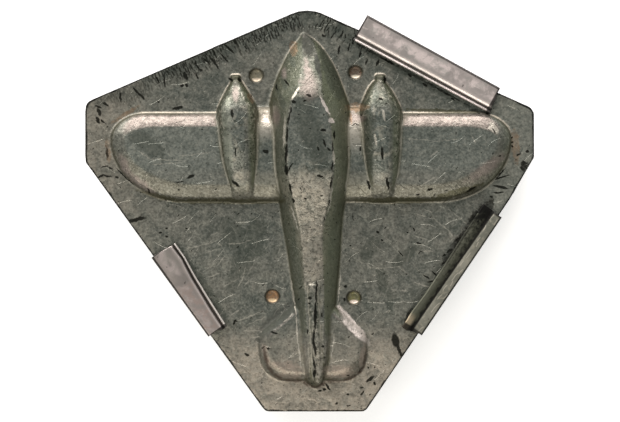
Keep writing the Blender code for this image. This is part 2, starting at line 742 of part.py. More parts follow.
def build():
    clear_scene()
    tinned = metal("tinned_sheet", (0.42, 0.42, 0.39), 0.42)
    tinned_back = metal("tinned_sheet_back", (0.40, 0.40, 0.37), 0.45)
    spring = metal("clip_metal", (0.62, 0.60, 0.58), 0.35)
    half_of_mould("back_half", -1, BACK_FACE_Z, tinned_back)
    half_of_mould("front_half", 1, FRONT_FACE_Z, tinned)
    edges = belt_edges(corner_circles())
    upper_right, lower_left, lower_right = edges[7], edges[2], edges[4]
    upper_run = (upper_right[1] - upper_right[0]).length
    lower_run = (lower_right[1] - lower_right[0]).length
    clip(
        "clip_upper_right",
        upper_right,
        upper_run - UPPER_CLIP_START - UPPER_CLIP_LENGTH,
        UPPER_CLIP_LENGTH,
        (UPPER_CLIP_OVERHANG_END, UPPER_CLIP_OVERHANG_START),
        (UPPER_CLIP_WIDTH, UPPER_CLIP_WIDTH),
        UPPER_CLIP_LIP,
        CLIP_SLOPE,
        LIP_RISE,
        spring,
    )
    clip(
        "clip_lower_left",
        lower_left,
        LEFT_CLIP_START,
        LEFT_CLIP_LENGTH,
        (LEFT_CLIP_OVERHANG, LEFT_CLIP_OVERHANG),
        (LEFT_CLIP_TOP_WIDTH, LEFT_CLIP_FOOT_WIDTH),
        LEFT_CLIP_LIP,
        CLIP_SLOPE,
        LIP_RISE,
        spring,
    )
    clip(
        "clip_lower_right",
        lower_right,
        lower_run - RIGHT_CLIP_START - RIGHT_CLIP_LENGTH,
        RIGHT_CLIP_LENGTH,
        (RIGHT_CLIP_OVERHANG, RIGHT_CLIP_OVERHANG),
        (RIGHT_CLIP_WIDTH, RIGHT_CLIP_WIDTH),
        RIGHT_CLIP_LIP,
        RIGHT_CLIP_SLOPE,
        FLARED_LIP_RISE,
        spring,
    )


build()
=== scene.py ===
"""The two pressed tin sheets of an old chocolate mould and the three clips that hold them shut."""

import math
from types import SimpleNamespace

import bmesh
import bpy
import numpy as np
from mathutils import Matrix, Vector


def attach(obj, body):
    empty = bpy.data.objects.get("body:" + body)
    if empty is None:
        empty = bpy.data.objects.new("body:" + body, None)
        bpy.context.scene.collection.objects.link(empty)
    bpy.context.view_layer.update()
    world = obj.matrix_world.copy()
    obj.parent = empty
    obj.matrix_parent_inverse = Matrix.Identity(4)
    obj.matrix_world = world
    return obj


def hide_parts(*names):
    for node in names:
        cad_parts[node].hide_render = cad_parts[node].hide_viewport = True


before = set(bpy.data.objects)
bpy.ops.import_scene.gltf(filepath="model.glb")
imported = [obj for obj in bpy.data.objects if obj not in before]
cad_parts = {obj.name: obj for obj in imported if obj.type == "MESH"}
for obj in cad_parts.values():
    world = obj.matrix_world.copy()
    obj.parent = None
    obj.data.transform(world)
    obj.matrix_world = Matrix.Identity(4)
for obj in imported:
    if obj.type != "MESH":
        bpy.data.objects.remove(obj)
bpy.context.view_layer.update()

MM = 0.001
# How near two places have to be, in millimetres, to count as the same and as lying in one row
SAME = 0.001
CLOSE = 0.01
# A place in metres, off every axis of the mould, from which the formers' faces are put in order
SORTED_FROM = (0.31, 0.17, 0.23)

# The closed mould, in millimetres: the faces where the sheets meet, and the sheet itself
FRONT_FACE = 12.3
BACK_FACE = 12.0
MIDDLE = (FRONT_FACE + BACK_FACE) / 2
SHEET = 0.7

# The pressed sheets
BLANK_HEIGHT = 40
CELL = 2.8
CELL_HALVINGS = 3
FINE_CELL = CELL / 2**CELL_HALVINGS
PRESS_PASSES = 4
WAVE_LENGTH = 34.0
WAVE_HEIGHT = 0.22
KEPT_SHARE = 0.33
RIM_ROUNDING = 0.16
RIM_ANGLE = math.radians(60)
SMOOTH_ANGLE = math.radians(50)

# The fuselage, rib by rib from the nose: y, left and right foot, left and right edge of the crown, height
FUSELAGE_RIBS = (
    (67.6, -3.0, -1.9, -2.8, -2.1, 1.0), (66.5, -3.6, -0.1, -2.9, -1.0, 2.2),
    (65.0, -4.5, 2.1, -2.8, 0.5, 3.3), (62.7, -6.9, 4.5, -2.6, 1.8, 4.5),
    (59.3, -9.0, 6.9, -2.4, 2.9, 6.1), (55.5, -10.7, 9.4, -2.7, 3.8, 7.9),
    (51.7, -12.5, 11.1, -3.3, 4.3, 9.6), (47.9, -13.8, 12.6, -4.1, 4.5, 11.2),
    (44.9, -14.7, 13.7, -5.2, 4.7, 12.35), (42.8, -15.1, 14.4, -6.5, 4.9, 13.0),
    (40.7, -15.5, 15.2, -7.1, 5.6, 13.0), (36.5, -15.6, 16.0, -8.1, 7.1, 13.0),
    (31.9, -15.3, 16.4, -8.7, 8.2, 13.0), (27.0, -15.0, 16.4, -9.0, 8.5, 13.0),
    (17.5, -14.5, 16.3, -8.8, 9.5, 13.0), (14.8, -14.3, 16.1, -8.5, 9.2, 12.7),
    (9.1, -13.5, 15.5, -7.5, 8.3, 11.6), (5.7, -12.4, 14.4, -6.6, 7.7, 10.9),
    (3.4, -11.6, 13.6, -6.1, 7.2, 10.4), (-1.5, -11.2, 12.9, -4.8, 6.0, 9.5),
    (-7.2, -10.3, 12.4, -3.5, 4.5, 8.7), (-16.6, -8.5, 12.0, -2.6, 4.7, 8.2),
    (-27.4, -7.1, 11.0, -2.0, 5.2, 7.6), (-34.9, -6.1, 10.2, -1.6, 5.4, 7.2),
    (-43.4, -5.2, 9.4, -1.2, 5.6, 6.8), (-51.3, -4.6, 8.5, -0.9, 5.8, 6.4),
    (-57.4, -4.1, 7.8, -0.6, 5.7, 6.1), (-61.2, -3.5, 6.9, -0.4, 5.3, 5.6),
    (-64.3, -2.2, 5.5, 0.2, 4.4, 4.4), (-66.2, -0.4, 4.1, 1.0, 3.2, 2.8),
    (-67.2, 1.3, 2.8, 1.8, 2.5, 1.2),
)
BELLY_HEIGHTS = (
    (67.5, 1.2), (65.0, 4.2), (59.3, 7.4), (51.7, 10.0), (43.0, 12.0), (-8.0, 12.0), (-28.0, 9.6),
    (-48.0, 7.0), (-61.2, 5.2), (-67.2, 1.2),
)
# Each nacelle: y, left and right foot, height
LEFT_NACELLE_RIBS = (
    (49.6, -29.9, -26.1, 3.4), (48.3, -30.4, -25.3, 4.8), (46.0, -31.7, -23.8, 6.6),
    (43.7, -32.9, -22.5, 8.0), (41.1, -34.2, -20.9, 9.2), (38.6, -35.3, -19.7, 9.9),
    (35.7, -35.4, -19.5, 10.3), (32.3, -35.0, -19.6, 10.4), (27.8, -34.6, -19.4, 10.2),
    (23.2, -34.1, -19.4, 9.7), (18.6, -33.4, -19.5, 8.9), (14.1, -32.4, -19.7, 7.9),
    (10.3, -31.9, -19.7, 6.8), (7.2, -31.2, -19.7, 5.4), (4.9, -30.9, -19.8, 3.8),
    (3.4, -30.7, -19.8, 2.0),
)
RIGHT_NACELLE_RIBS = (
    (49.6, 24.7, 28.5, 3.4), (48.3, 23.3, 29.2, 4.8), (46.0, 21.8, 31.1, 6.6), (43.7, 20.9, 32.3, 8.0),
    (41.1, 19.8, 33.8, 9.2), (38.6, 19.1, 34.9, 9.9), (35.7, 19.2, 35.2, 10.3),
    (32.3, 19.4, 35.1, 10.4), (27.8, 19.7, 34.9, 10.2), (23.2, 20.1, 34.8, 9.7),
    (18.6, 20.5, 34.6, 8.9), (14.1, 21.0, 34.2, 7.9), (10.3, 21.4, 33.8, 6.8), (7.2, 21.8, 33.5, 5.4),
    (4.9, 22.2, 33.2, 3.8), (3.4, 22.4, 33.0, 2.0),
)
BELLY_SHARE = 0.92
FORMER_HALVINGS = 3

# A rib from its foot to its middle: how far in towards the crown, and how far up
FUSELAGE_SECTION = ((0.0, 0.0), (0.1, 0.3), (0.52, 0.7), (1.0, 1.0))
NACELLE_SECTION = ((0.0, 0.0), (0.02, 0.5), (0.24, 0.85), (0.6, 0.98))
ROOT_SECTION = ((0.0, 0.0), (0.1, 1.0))
# The height of the crown's level part, and how far its middle line rises over its edges there
CROWN_HEIGHT = 13.0
CROWN_RISE = 0.25

# The wings: corners' lengths along x and depths along y, and the steps of their edges
WING_MIDDLE = 0.5
WING_HALF_SPAN = 76.4
LEADING = 37.4
WING_CORNERS = ((13.4, 10.0), (28.0, 24.0))
WING_HEIGHT = 5.2
WING_BELLY_HEIGHT = 5.0
WING_STEPS = (
    (0.0, 0.0), (0.03, 0.2), (0.12, 0.45), (0.24, 0.64), (0.45, 0.78), (0.7, 0.91), (0.88, 0.98),
    (1.0, 1.0),
)
LEADING_SLOPE = 5.9
TRAILING_SLOPE = 7.2
TIP_SLOPE = 6.5

# The wings' roots, which start further forward: their left and right ends, and their slope as (y, height)
ROOTS = ((-24.0, -11.0), (11.0, 24.0))
ROOT_SLOPE = (
    (39.75, 0.1), (39.4, 1.75), (38.6, 2.3), (37.4, 2.85), (35.4, 3.7), (33.4, 4.5), (31.4, 5.25),
    (29.4, 5.4), (20.0, 5.2),
)

# The tailplane and the fin
TAILPLANE = (
    (2.0, -27.8, 0.0), (22.6, -47.3, 1.5), (21.6, -65.0, 8.2), (-18.6, -65.1, 8.2), (-20.4, -46.9, 1.5),
)
TAILPLANE_HEIGHT = 4.0
TAILPLANE_BELLY_HEIGHT = 3.6
TAILPLANE_STEPS = ((0.5, 0.9), (0.8, 0.9), (0.9, 0.75), (0.9, 0.5), (0.9, 0.25))
FIN = (1.0, -27.6, 3.2, -65.6)
FIN_WIDTH = 3.3
FIN_FRONT_HEIGHT = 8.125
FIN_REAR_HEIGHT = 6.5

# The boss on each nacelle's nose, the block under the flange, and the pips that line the halves up
BOSSES = ((-28.2, 49.9), (26.7, 50.0))
BOSS_SIZE = (3.9, 3.9, 3.3)
SLAB = (190, 170, 5)
PIPS = ((-20.3, 51.5), (17.4, 52.7), (-14.2, -32.5), (16.8, -33.0))
PIP_RADIUS = 2.65
PIP_DEPTH = 1.3

# The clips: folded strips that are drawn from their backs over both flanges to a knee, a pinch and a lip
CLIP_SHEET = 0.6
CLIP_ROWS = 36
CLIP_END_ROWS = 6
CLIP_BACK_HEIGHT = 2.6
CLIP_KNEE_HEIGHT = 2.3
CLIP_PINCH_HEIGHT = 1.45
LEG_STEPS = (0.33, 0.67)
LIP_CURVE = 0.44
# Each clip: the ends of its outer edge, the height of its lip, and the rounding of its back, knee and pinch
UPPER_RIGHT = ((72.37, 46.72), (21.91, 74.51), 2.55, (0.75, 0.7, 0.35))
LOWER_LEFT = ((-60.19, -17.78), (-38.54, -47.78), 2.65, (0.75, 0.4, 0.35))
LOWER_RIGHT = ((42.61, -47.28), (72.96, -2.5), 4.25, (0.5, 0.5, 0.35))
# Along each clip: the share of its length, and how far in the knee, the pinch and the lip lie
UPPER_RIGHT_REACH = ((0.0, 7.9, 8.9, 10.1), (1.0, 8.3, 9.5, 10.9))
LOWER_LEFT_REACH = (
    (0.0, 8.4, 9.4, 10.5), (0.2, 8.6, 9.5, 10.4), (0.28, 8.0, 9.0, 10.0), (0.42, 7.3, 8.3, 9.4),
    (0.64, 6.6, 7.6, 8.75), (0.8, 6.0, 7.2, 8.4), (1.0, 5.8, 6.8, 7.9),
)
LOWER_RIGHT_REACH = (
    (0.0, 3.5, 4.9, 8.5), (0.25, 3.5, 4.8, 7.8), (0.5, 3.4, 4.7, 7.9), (0.75, 3.1, 4.5, 8.4),
    (1.0, 2.9, 4.4, 8.6),
)
# The turned-up corner, step by step: what lies further in and nearer the end than this moves up and out
CORNER_STEPS = ((6.2, 5.0, 0.25, 0.1), (6.2, 3.6, 0.35, 0.15), (6.2, 2.0, 0.4, 0.25), (7.4, 3.0, 0.3, -0.2))
# How far the inner part of each clip stands out past its back, at its first and its last end
UPPER_RIGHT_ENDS = (1.2, 0.2)
LOWER_LEFT_ENDS = (-0.9, 1.9)
LOWER_RIGHT_ENDS = (1.2, 0.3)


# Choosing and moving


def choose(piece):
    rest()
    piece.select_set(True)
    bpy.context.view_layer.objects.active = piece


def work_on(piece):
    """Opens one piece in edit mode, with nothing else selected."""
    choose(piece)
    bpy.ops.object.mode_set(mode="EDIT")
    bpy.ops.mesh.select_mode(type="VERT")


def rest():
    if bpy.context.mode != "OBJECT":
        bpy.ops.object.mode_set(mode="OBJECT")
    bpy.ops.object.select_all(action="DESELECT")


def opened():
    """The mesh of the piece that is open in edit mode."""
    body = bmesh.from_edit_mesh(bpy.context.object.data)
    body.verts.ensure_lookup_table()
    return body


def pick(test):
    """Selects the points that pass the test, and what lies between them."""
    body = opened()
    for point in body.verts:
        point.select_set(False)
    body.select_flush(False)
    for point in body.verts:
        if test(point.co / MM):
            point.select_set(True)
    body.select_flush(True)
    bmesh.update_edit_mesh(bpy.context.object.data)


def pick_all():
    bpy.ops.mesh.select_all(action="SELECT")


def move(x=0.0, y=0.0, z=0.0):
    bpy.ops.transform.translate(value=(x * MM, y * MM, z * MM))


def stretch(x=1.0, y=1.0, z=1.0, about=None):
    if about is None:
        bpy.ops.transform.resize(value=(x, y, z))
    else:
        bpy.ops.transform.resize(value=(x, y, z), center_override=tuple(c * MM for c in about))


def pull_out(x=0.0, y=0.0, z=0.0):
    """Extrudes what is selected."""
    bpy.ops.mesh.extrude_region_move(TRANSFORM_OT_translate={"value": (x * MM, y * MM, z * MM)})


def named(name):
    """Gives the primitive that was just added its name."""
    piece = bpy.context.object
    piece.name = piece.data.name = name
    return piece


def settle(piece):
    """Leaves the piece at the origin, unturned, with its place in its mesh."""
    choose(piece)
    bpy.ops.object.transform_apply(location=True, rotation=True, scale=True)
    return piece


def finish_with(piece, kind, **settings):
    """Adds a modifier to the piece and applies it."""
    choose(piece)
    modifier = piece.modifiers.new(kind, kind)
    for key, value in settings.items():
        setattr(modifier, key, value)
    bpy.ops.object.modifier_apply(modifier=modifier.name)


def put_in_order(piece):
    """Sorts a piece's points, edges and faces by their distance from one place, so that all runs agree."""
    work_on(piece)
    pick_all()
    bpy.context.scene.cursor.location = SORTED_FROM
    bpy.ops.mesh.sort_elements(type="CURSOR_DISTANCE", elements={"VERT", "EDGE", "FACE"})
    bpy.context.scene.cursor.location = (0, 0, 0)
    rest()


def halve(piece, times, **settings):
    """Divides every face in four, as many times as given."""
    finish_with(piece, "SUBSURF", levels=times, render_levels=times, **settings)


# Formers, which the sheets are pressed over


def set_rib(y, places):
    """Draws the rib at y to its width, then moves its pairs of points to their left, right and height."""
    body = opened()
    across = [p.co.x / MM for p in body.verts if abs(p.co.y / MM - y) < CLOSE]
    left, right, _ = places[0]
    pick(lambda place: abs(place.y - y) < CLOSE)
    stretch(x=(right - left) / (max(across) - min(across)))
    move(x=(left + right - max(across) - min(across)) / 2)
    for k, (left, right, height) in enumerate(places):
        body = opened()
        rib = [p.co / MM for p in body.verts if abs(p.co.y / MM - y) < CLOSE]
        rib.sort(key=lambda place: place.x)
        here = (rib[k], rib[-1 - k])
        pick(lambda place: min((place - here[0]).length, (place - here[1]).length) < SAME)
        if len(rib) != 2 * k + 1:
            stretch(x=(right - left) / max((here[1] - here[0]).x, SAME))
        move(x=(left + right) / 2 - (here[0] + here[1]).x / 2, z=height - here[0].z)


def hull(name, ribs):
    """A long body: one strip, extruded from rib to rib. Each rib is (y, places of its pairs of points)."""
    columns = 2 * len(ribs[0][1]) - 2
    rest()
    bpy.ops.mesh.primitive_grid_add(x_subdivisions=columns, y_subdivisions=1, size=2 * MM)
    piece = named(name)
    work_on(piece)
    first, second = ribs[0][0], ribs[1][0]
    pick(lambda place: place.y > 0)
    move(y=first - 1)
    pick(lambda place: place.y < 0)
    move(y=second + 1)
    set_rib(first, ribs[0][1])
    set_rib(second, ribs[1][1])
    for (before, _), (y, places) in zip(ribs[1:], ribs[2:]):
        pick(lambda place: abs(place.y - before) < CLOSE)
        pull_out(y=y - before)
        set_rib(y, places)
    put_in_order(piece)
    return piece


def rib_places(left, right, crown_left, crown_right, height, section, rise):
    """The pairs of points of a rib, from its foot to its middle."""
    places = []
    for inward, up in section:
        on_left = left + (crown_left - left) * inward
        on_right = right + (crown_right - right) * inward
        places.append((on_left, on_right, height * up))
    middle = (crown_left + crown_right) / 2
    places.append((middle, middle, height + rise))
    return places


def read_at(table, y):
    """The height at y in a table of (y, height), from the nose back."""
    return float(np.interp(-y, [-row[0] for row in table], [row[1] for row in table]))


def fuselage_former(belly):
    ribs = []
    for y, left, right, crown_left, crown_right, height in FUSELAGE_RIBS:
        if belly:
            height = read_at(BELLY_HEIGHTS, y)
        rise = CROWN_RISE * height / CROWN_HEIGHT
        ribs.append((y, rib_places(left, right, crown_left, crown_right, height, FUSELAGE_SECTION, rise)))
    former = hull("fuselage_former", ribs)
    if not belly:
        work_on(former)
        crease_lines(opened())
        bmesh.update_edit_mesh(former.data)
        rest()
    halve(former, FORMER_HALVINGS)
    return former


def crease_lines(body):
    """Keeps the two edges of the crown, and the front of its level part, sharp."""
    layer = body.edges.layers.float.get("crease_edge") or body.edges.layers.float.new("crease_edge")
    crown = {}
    for y, _, _, crown_left, crown_right, _ in FUSELAGE_RIBS:
        crown[y] = (crown_left, crown_right)
    level = next(row[0] for row in FUSELAGE_RIBS if row[-1] == CROWN_HEIGHT)
    for edge in body.edges:
        a, b = (v.co / MM for v in edge.verts)
        on = []
        for place in (a, b):
            y = min(crown, key=lambda station: abs(station - place.y))
            on.append(min(abs(place.x - crown[y][0]), abs(place.x - crown[y][1])) < CLOSE)
        if all(on) and abs(a.y - b.y) > CLOSE:
            edge[layer] = 0.9
        inside = all(crown[level][0] - CLOSE <= place.x <= crown[level][1] + CLOSE for place in (a, b))
        if inside and max(abs(a.y - level), abs(b.y - level)) < CLOSE:
            edge[layer] = 0.8


def nacelle_former(name, rows, belly):
    ribs = []
    share = BELLY_SHARE if belly else 1.0
    for y, left, right, height in rows:
        middle = (left + right) / 2
        ribs.append((y, rib_places(left, right, middle, middle, height * share, NACELLE_SECTION, 0)))
    former = hull(name, ribs)
    halve(former, FORMER_HALVINGS)
    return former


def disc(name, corners, radius):
    """A flat round with an even number of points on either side of its middle, open in edit mode."""
    rest()
    bpy.ops.mesh.primitive_circle_add(
        vertices=corners, radius=radius * MM, fill_type="NGON", rotation=(0, 0, math.pi / corners)
    )
    piece = settle(named(name))
    work_on(piece)
    return piece


def wing_former(belly):
    """The wings: a round, its quarters drawn out to the corners, raised and drawn in step by step."""
    height = WING_BELLY_HEIGHT if belly else WING_HEIGHT
    piece = disc("wing_former", 96, 1)
    for way_y, (length, depth) in zip((1, -1), WING_CORNERS):
        for way_x in (1, -1):
            pick(lambda place: place.x * way_x > 0 and place.y * way_y > 0 and place.length < 1 + CLOSE)
            stretch(length, depth, 1, about=(0, 0, 0))
            move(WING_MIDDLE + way_x * (WING_HALF_SPAN - length), LEADING - WING_CORNERS[0][1])
    done = (0.0, 0.0)
    for inward, up in WING_STEPS[1:]:
        level = done[1] * height
        pick(lambda place: abs(place.z - level) < SAME)
        pull_out(z=(up - done[1]) * height)
        step, level = inward - done[0], up * height
        middle_y = LEADING - WING_CORNERS[0][1]
        for way_y, (_, depth), slope in zip((1, -1), WING_CORNERS, (LEADING_SLOPE, TRAILING_SLOPE)):
            pick(lambda place: abs(place.z - level) < SAME and (place.y - middle_y) * way_y > SAME)
            stretch(y=(depth - inward * slope) / (depth - done[0] * slope), about=(0, middle_y, level))
        for way_x in (1, -1):
            pick(lambda place: abs(place.z - level) < SAME and (place.x - WING_MIDDLE) * way_x > 0)
            move(x=-way_x * step * TIP_SLOPE)
        done = (inward, up)
    put_in_order(piece)
    return piece


def root_former(left, right):
    """The front of one wing's root, between the nacelle and the fuselage."""
    middle = (left + right) / 2
    ribs = []
    for y, height in ROOT_SLOPE:
        ribs.append((y, rib_places(left, right, middle, middle, height, ROOT_SECTION, 0)))
    return hull("root_former", ribs)


def tailplane_former(belly):
    height = TAILPLANE_BELLY_HEIGHT if belly else TAILPLANE_HEIGHT
    rest()
    bpy.ops.mesh.primitive_circle_add(vertices=len(TAILPLANE), radius=MM, fill_type="NGON")
    piece = settle(named("tailplane_former"))
    work_on(piece)
    body = opened()
    corners = [p.co / MM for p in body.verts]
    corners.sort(key=lambda corner: (math.atan2(-corner.x, corner.y) + 0.1) % math.tau)
    for corner, (x, y, _) in zip(corners, (TAILPLANE[0],) + TAILPLANE[:0:-1]):
        pick(lambda place: (place - corner).length < SAME)
        move(x - corner.x, y - corner.y)
    pick_all()
    pull_out(z=0.001)
    total = sum(share for _, share in TAILPLANE_STEPS)
    for thickness, share in TAILPLANE_STEPS:
        bpy.ops.mesh.inset(thickness=thickness * MM, depth=share * height / total * MM)
    for x, y, radius in TAILPLANE:
        if radius:
            pick_rising_edges(lambda place: nearest(TAILPLANE, place) == (x, y))
            bpy.ops.mesh.bevel(offset=radius * MM, segments=8, affect="EDGES")
    put_in_order(piece)
    return piece


def nearest(rows, place):
    """The x and y of the row that lies nearest to a place."""
    return min((row[:2] for row in rows), key=lambda row: math.dist(row, place[:2]))


def pick_rising_edges(test):
    """Selects the edges that climb from one level to the next between points that pass the test."""
    bpy.ops.mesh.select_mode(type="EDGE")
    body = opened()
    for edge in body.edges:
        edge.select_set(False)
    for edge in body.edges:
        a, b = (point.co / MM for point in edge.verts)
        if abs(a.z - b.z) > 0.0001 and test(a) and test(b):
            edge.select_set(True)
    bmesh.update_edit_mesh(bpy.context.object.data)


def fin_former():
    """The ridge along the tail: a long block, its front end round and its top edges eased."""
    front_x, front_y, rear_x, rear_y = FIN
    piece = disc("fin_former", 24, FIN_WIDTH / 2)
    pick(lambda place: place.y > 0)
    move(front_x, front_y - FIN_WIDTH / 2)
    pick(lambda place: place.y < 0 and place.y > -FIN_WIDTH)
    move(rear_x, rear_y + FIN_WIDTH / 2)
    pick_all()
    pull_out(z=1)
    pick(lambda place: place.z > 0 and place.y > (front_y + rear_y) / 2)
    move(z=FIN_FRONT_HEIGHT - 1)
    pick(lambda place: 0 < place.z < 2)
    move(z=FIN_REAR_HEIGHT - 1)
    pick(lambda place: place.z > 0)
    bpy.ops.mesh.inset(thickness=0.8 * MM, depth=0.35 * MM)
    put_in_order(piece)
    return piece


def block(name, middle, size):
    """A block about its middle, open in edit mode."""
    rest()
    bpy.ops.mesh.primitive_cube_add(size=MM, location=tuple(c * MM for c in middle))
    piece = named(name)
    work_on(piece)
    stretch(*size)
    return piece


def boss_former(x, y):
    piece = block("boss_former", (x, y, BOSS_SIZE[2] / 2), BOSS_SIZE)
    pick(lambda place: place.z > 0)
    stretch(0.8, 0.86)
    pick_all()
    bpy.ops.mesh.bevel(offset=0.5 * MM, segments=3, affect="EDGES")
    return settle(piece)


def flange_former(sunk):
    """The level part of the press, with its four pips sunk into it or standing on it."""
    slab = block("flange_former", (0, 0, (SHEET - SLAB[2]) / 2), (SLAB[0], SLAB[1], SHEET + SLAB[2]))
    settle(slab)
    for x, y in PIPS:
        rest()
        low, high = (SHEET - PIP_DEPTH, SHEET + 1) if sunk else (SHEET - 1, SHEET + PIP_DEPTH)
        bpy.ops.mesh.primitive_cone_add(
            vertices=40,
            radius1=PIP_RADIUS * MM * (0.78 if sunk else 1.1),
            radius2=PIP_RADIUS * MM * (1.18 if sunk else 0.78),
            depth=(high - low) * MM,
            location=(x * MM, y * MM, (low + high) / 2 * MM),
        )
        cone = settle(named("pip_former"))
        operation = "DIFFERENCE" if sunk else "UNION"
        finish_with(slab, "BOOLEAN", object=cone, operation=operation, solver="EXACT")
        bpy.data.objects.remove(cone)
    return slab


def press(belly):
    """All the formers of one half as one block, standing up from the face where the halves meet."""
    formers = [
        flange_former(sunk=not belly),
        fuselage_former(belly),
        wing_former(belly),
        nacelle_former("left_nacelle_former", LEFT_NACELLE_RIBS, belly),
        nacelle_former("right_nacelle_former", RIGHT_NACELLE_RIBS, belly),
        tailplane_former(belly),
        fin_former(),
    ]
    formers += [boss_former(x, y) for x, y in BOSSES]
    formers += [root_former(left, right) for left, right in ROOTS]
    rest()
    for former in formers:
        former.select_set(True)
    bpy.context.view_layer.objects.active = formers[0]
    bpy.ops.object.join()
    return formers[0]


# The sheets


def outline_of(node):
    """The outline of a flat node as seen from above, anticlockwise, in millimetres."""
    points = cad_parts[node].data.vertices
    places = sorted({(round(point.co.x / MM, 3), round(point.co.y / MM, 3)) for point in points})

    def half(row):
        chain = []
        for place in row:
            while len(chain) > 1 and turn(chain[-2], chain[-1], place) <= 1e-4:
                chain.pop()
            chain.append(place)
        return chain[:-1]

    return half(places) + half(places[::-1])


def turn(a, b, c):
    return (b[0] - a[0]) * (c[1] - a[1]) - (b[1] - a[1]) * (c[0] - a[0])


def blank(name, node):
    """A fine sheet, cut to the flange's outline, lying above the press."""
    outline = outline_of(node)
    width = max(x for x, _ in outline) - min(x for x, _ in outline)
    depth = max(y for _, y in outline) - min(y for _, y in outline)
    columns, rows = math.ceil(width / CELL) + 2, math.ceil(depth / CELL) + 2
    rest()
    bpy.ops.mesh.primitive_grid_add(
        x_subdivisions=columns, y_subdivisions=rows, size=MM, location=(0, 0, BLANK_HEIGHT * MM)
    )
    sheet = settle(named(name))
    work_on(sheet)
    pick_all()
    stretch(columns * CELL, rows * CELL, 1)
    for (ax, ay), (bx, by) in zip(outline, outline[1:] + outline[:1]):
        pick_all()
        bpy.ops.mesh.bisect(
            plane_co=(ax * MM, ay * MM, 0),
            plane_no=Vector((by - ay, ax - bx, 0)).normalized(),
            clear_outer=True,
            use_fill=False,
        )
    pick_all()
    bpy.ops.mesh.remove_doubles(threshold=0.01 * MM)
    rest()
    halve(sheet, CELL_HALVINGS, subdivision_type="SIMPLE")
    return sheet


def neighbours(mesh):
    """A function that gives each point the mean of a value over the points next to it."""
    count = len(mesh.vertices)
    ends = np.empty(len(mesh.edges) * 2, int)
    mesh.edges.foreach_get("vertices", ends)
    a, b = ends.reshape(-1, 2).T
    edges = np.bincount(a, minlength=count) + np.bincount(b, minlength=count)

    def mean(value):
        return (np.bincount(a, value[b], count) + np.bincount(b, value[a], count)) / edges

    return mean


def read_points(mesh, what):
    """One row of three numbers for each point of a mesh."""
    rows = np.empty(len(mesh.vertices) * 3)
    mesh.vertices.foreach_get(what, rows)
    return rows.reshape(-1, 3)


def keep_value(mesh, name, value):
    layer = mesh.attributes.new(name, "FLOAT", "POINT")
    layer.data.foreach_set("value", value.astype(np.float32))


def mark_folds(mesh):
    """Keeps how sharply the sheet turns at each point: inwards at a foot, outwards at an edge."""
    height = read_points(mesh, "co")[:, 2] / MM
    mean = neighbours(mesh)
    for _ in range(2):
        height = mean(height) * 0.5 + height * 0.5
    bend = (mean(height) - height) / FINE_CELL * 4
    inward, outward = np.clip(bend, 0, 2), np.clip(-bend, 0, 2)
    keep_value(mesh, "fold_in", inward)
    keep_value(mesh, "fold_out", outward)
    for _ in range(12):
        inward, outward = mean(inward), mean(outward)
    keep_value(mesh, "near_fold_in", inward)
    keep_value(mesh, "near_fold_out", outward)


def mark_slopes(mesh):
    """Keeps how high each point stands over the flange, and which way the sheet leans there."""
    mean = neighbours(mesh)
    leans = read_points(mesh, "normal")[:, :2].T
    for _ in range(3):
        leans = [mean(lean) for lean in leans]
    keep_value(mesh, "rise", read_points(mesh, "co")[:, 2] / MM - SHEET)
    keep_value(mesh, "lean_x", leans[0])
    keep_value(mesh, "lean_y", leans[1])


def mark_rim(mesh, outline):
    """Keeps how far each point lies from the rim, in millimetres."""
    places = read_points(mesh, "co")[:, :2] / MM
    near = np.full(len(places), 1e3)
    for (ax, ay), (bx, by) in zip(outline, outline[1:] + outline[:1]):
        across = np.array((ay - by, bx - ax)) / math.hypot(bx - ax, by - ay)
        near = np.minimum(near, (places - (ax, ay)) @ across)
    keep_value(mesh, "from_rim", near)


def round_rim(piece):
    finish_with(
        piece,
        "BEVEL",
        width=RIM_ROUNDING * MM,
        segments=2,
        limit_method="ANGLE",
        angle_limit=RIM_ANGLE,
    )


def smooth(piece):
    choose(piece)
    bpy.ops.object.shade_smooth_by_angle(angle=SMOOTH_ANGLE)
    rest()


def hand_over(piece, body, node):
    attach(piece, body)
    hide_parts(node)


def pressed_half(name, node, belly):
    """One half: a blank laid over the press, drawn down on it, eased at its bends and thickened."""
    sheet = blank(name, node)
    former = press(belly)
    finish_with(
        sheet,
        "SHRINKWRAP",
        target=former,
        wrap_method="PROJECT",
        use_project_x=False,
        use_project_y=False,
        use_project_z=True,
        use_negative_direction=True,
        use_positive_direction=False,
    )
    bpy.data.objects.remove(former)
    mark_folds(sheet.data)
    mark_slopes(sheet.data)
    mark_rim(sheet.data, outline_of(node))
    finish_with(sheet, "SMOOTH", use_x=False, use_y=False, use_z=True, factor=0.5, iterations=PRESS_PASSES)
    waves = bpy.data.textures.new("sheet_waves", "CLOUDS")
    waves.noise_scale = WAVE_LENGTH * MM
    waves.noise_depth = 1
    height = WAVE_HEIGHT * MM
    finish_with(sheet, "DISPLACE", texture=waves, texture_coords="GLOBAL", direction="Z", strength=height)
    finish_with(sheet, "DECIMATE", ratio=KEPT_SHARE)
    work_on(sheet)
    pick_all()
    if belly:
        stretch(1, 1, -1, about=(0, 0, 0))
        move(z=BACK_FACE)
        bpy.ops.mesh.flip_normals()
    else:
        move(z=FRONT_FACE)
    rest()
    finish_with(sheet, "SOLIDIFY", thickness=SHEET * MM, offset=-1, use_even_offset=False)
    round_rim(sheet)
    smooth(sheet)
    return sheet


front = pressed_half("front_sheet", "front_half", belly=False)
back = pressed_half("back_sheet", "back_half", belly=True)
hand_over(front, "front", "front_half")
hand_over(back, "back", "back_half")


# The clips


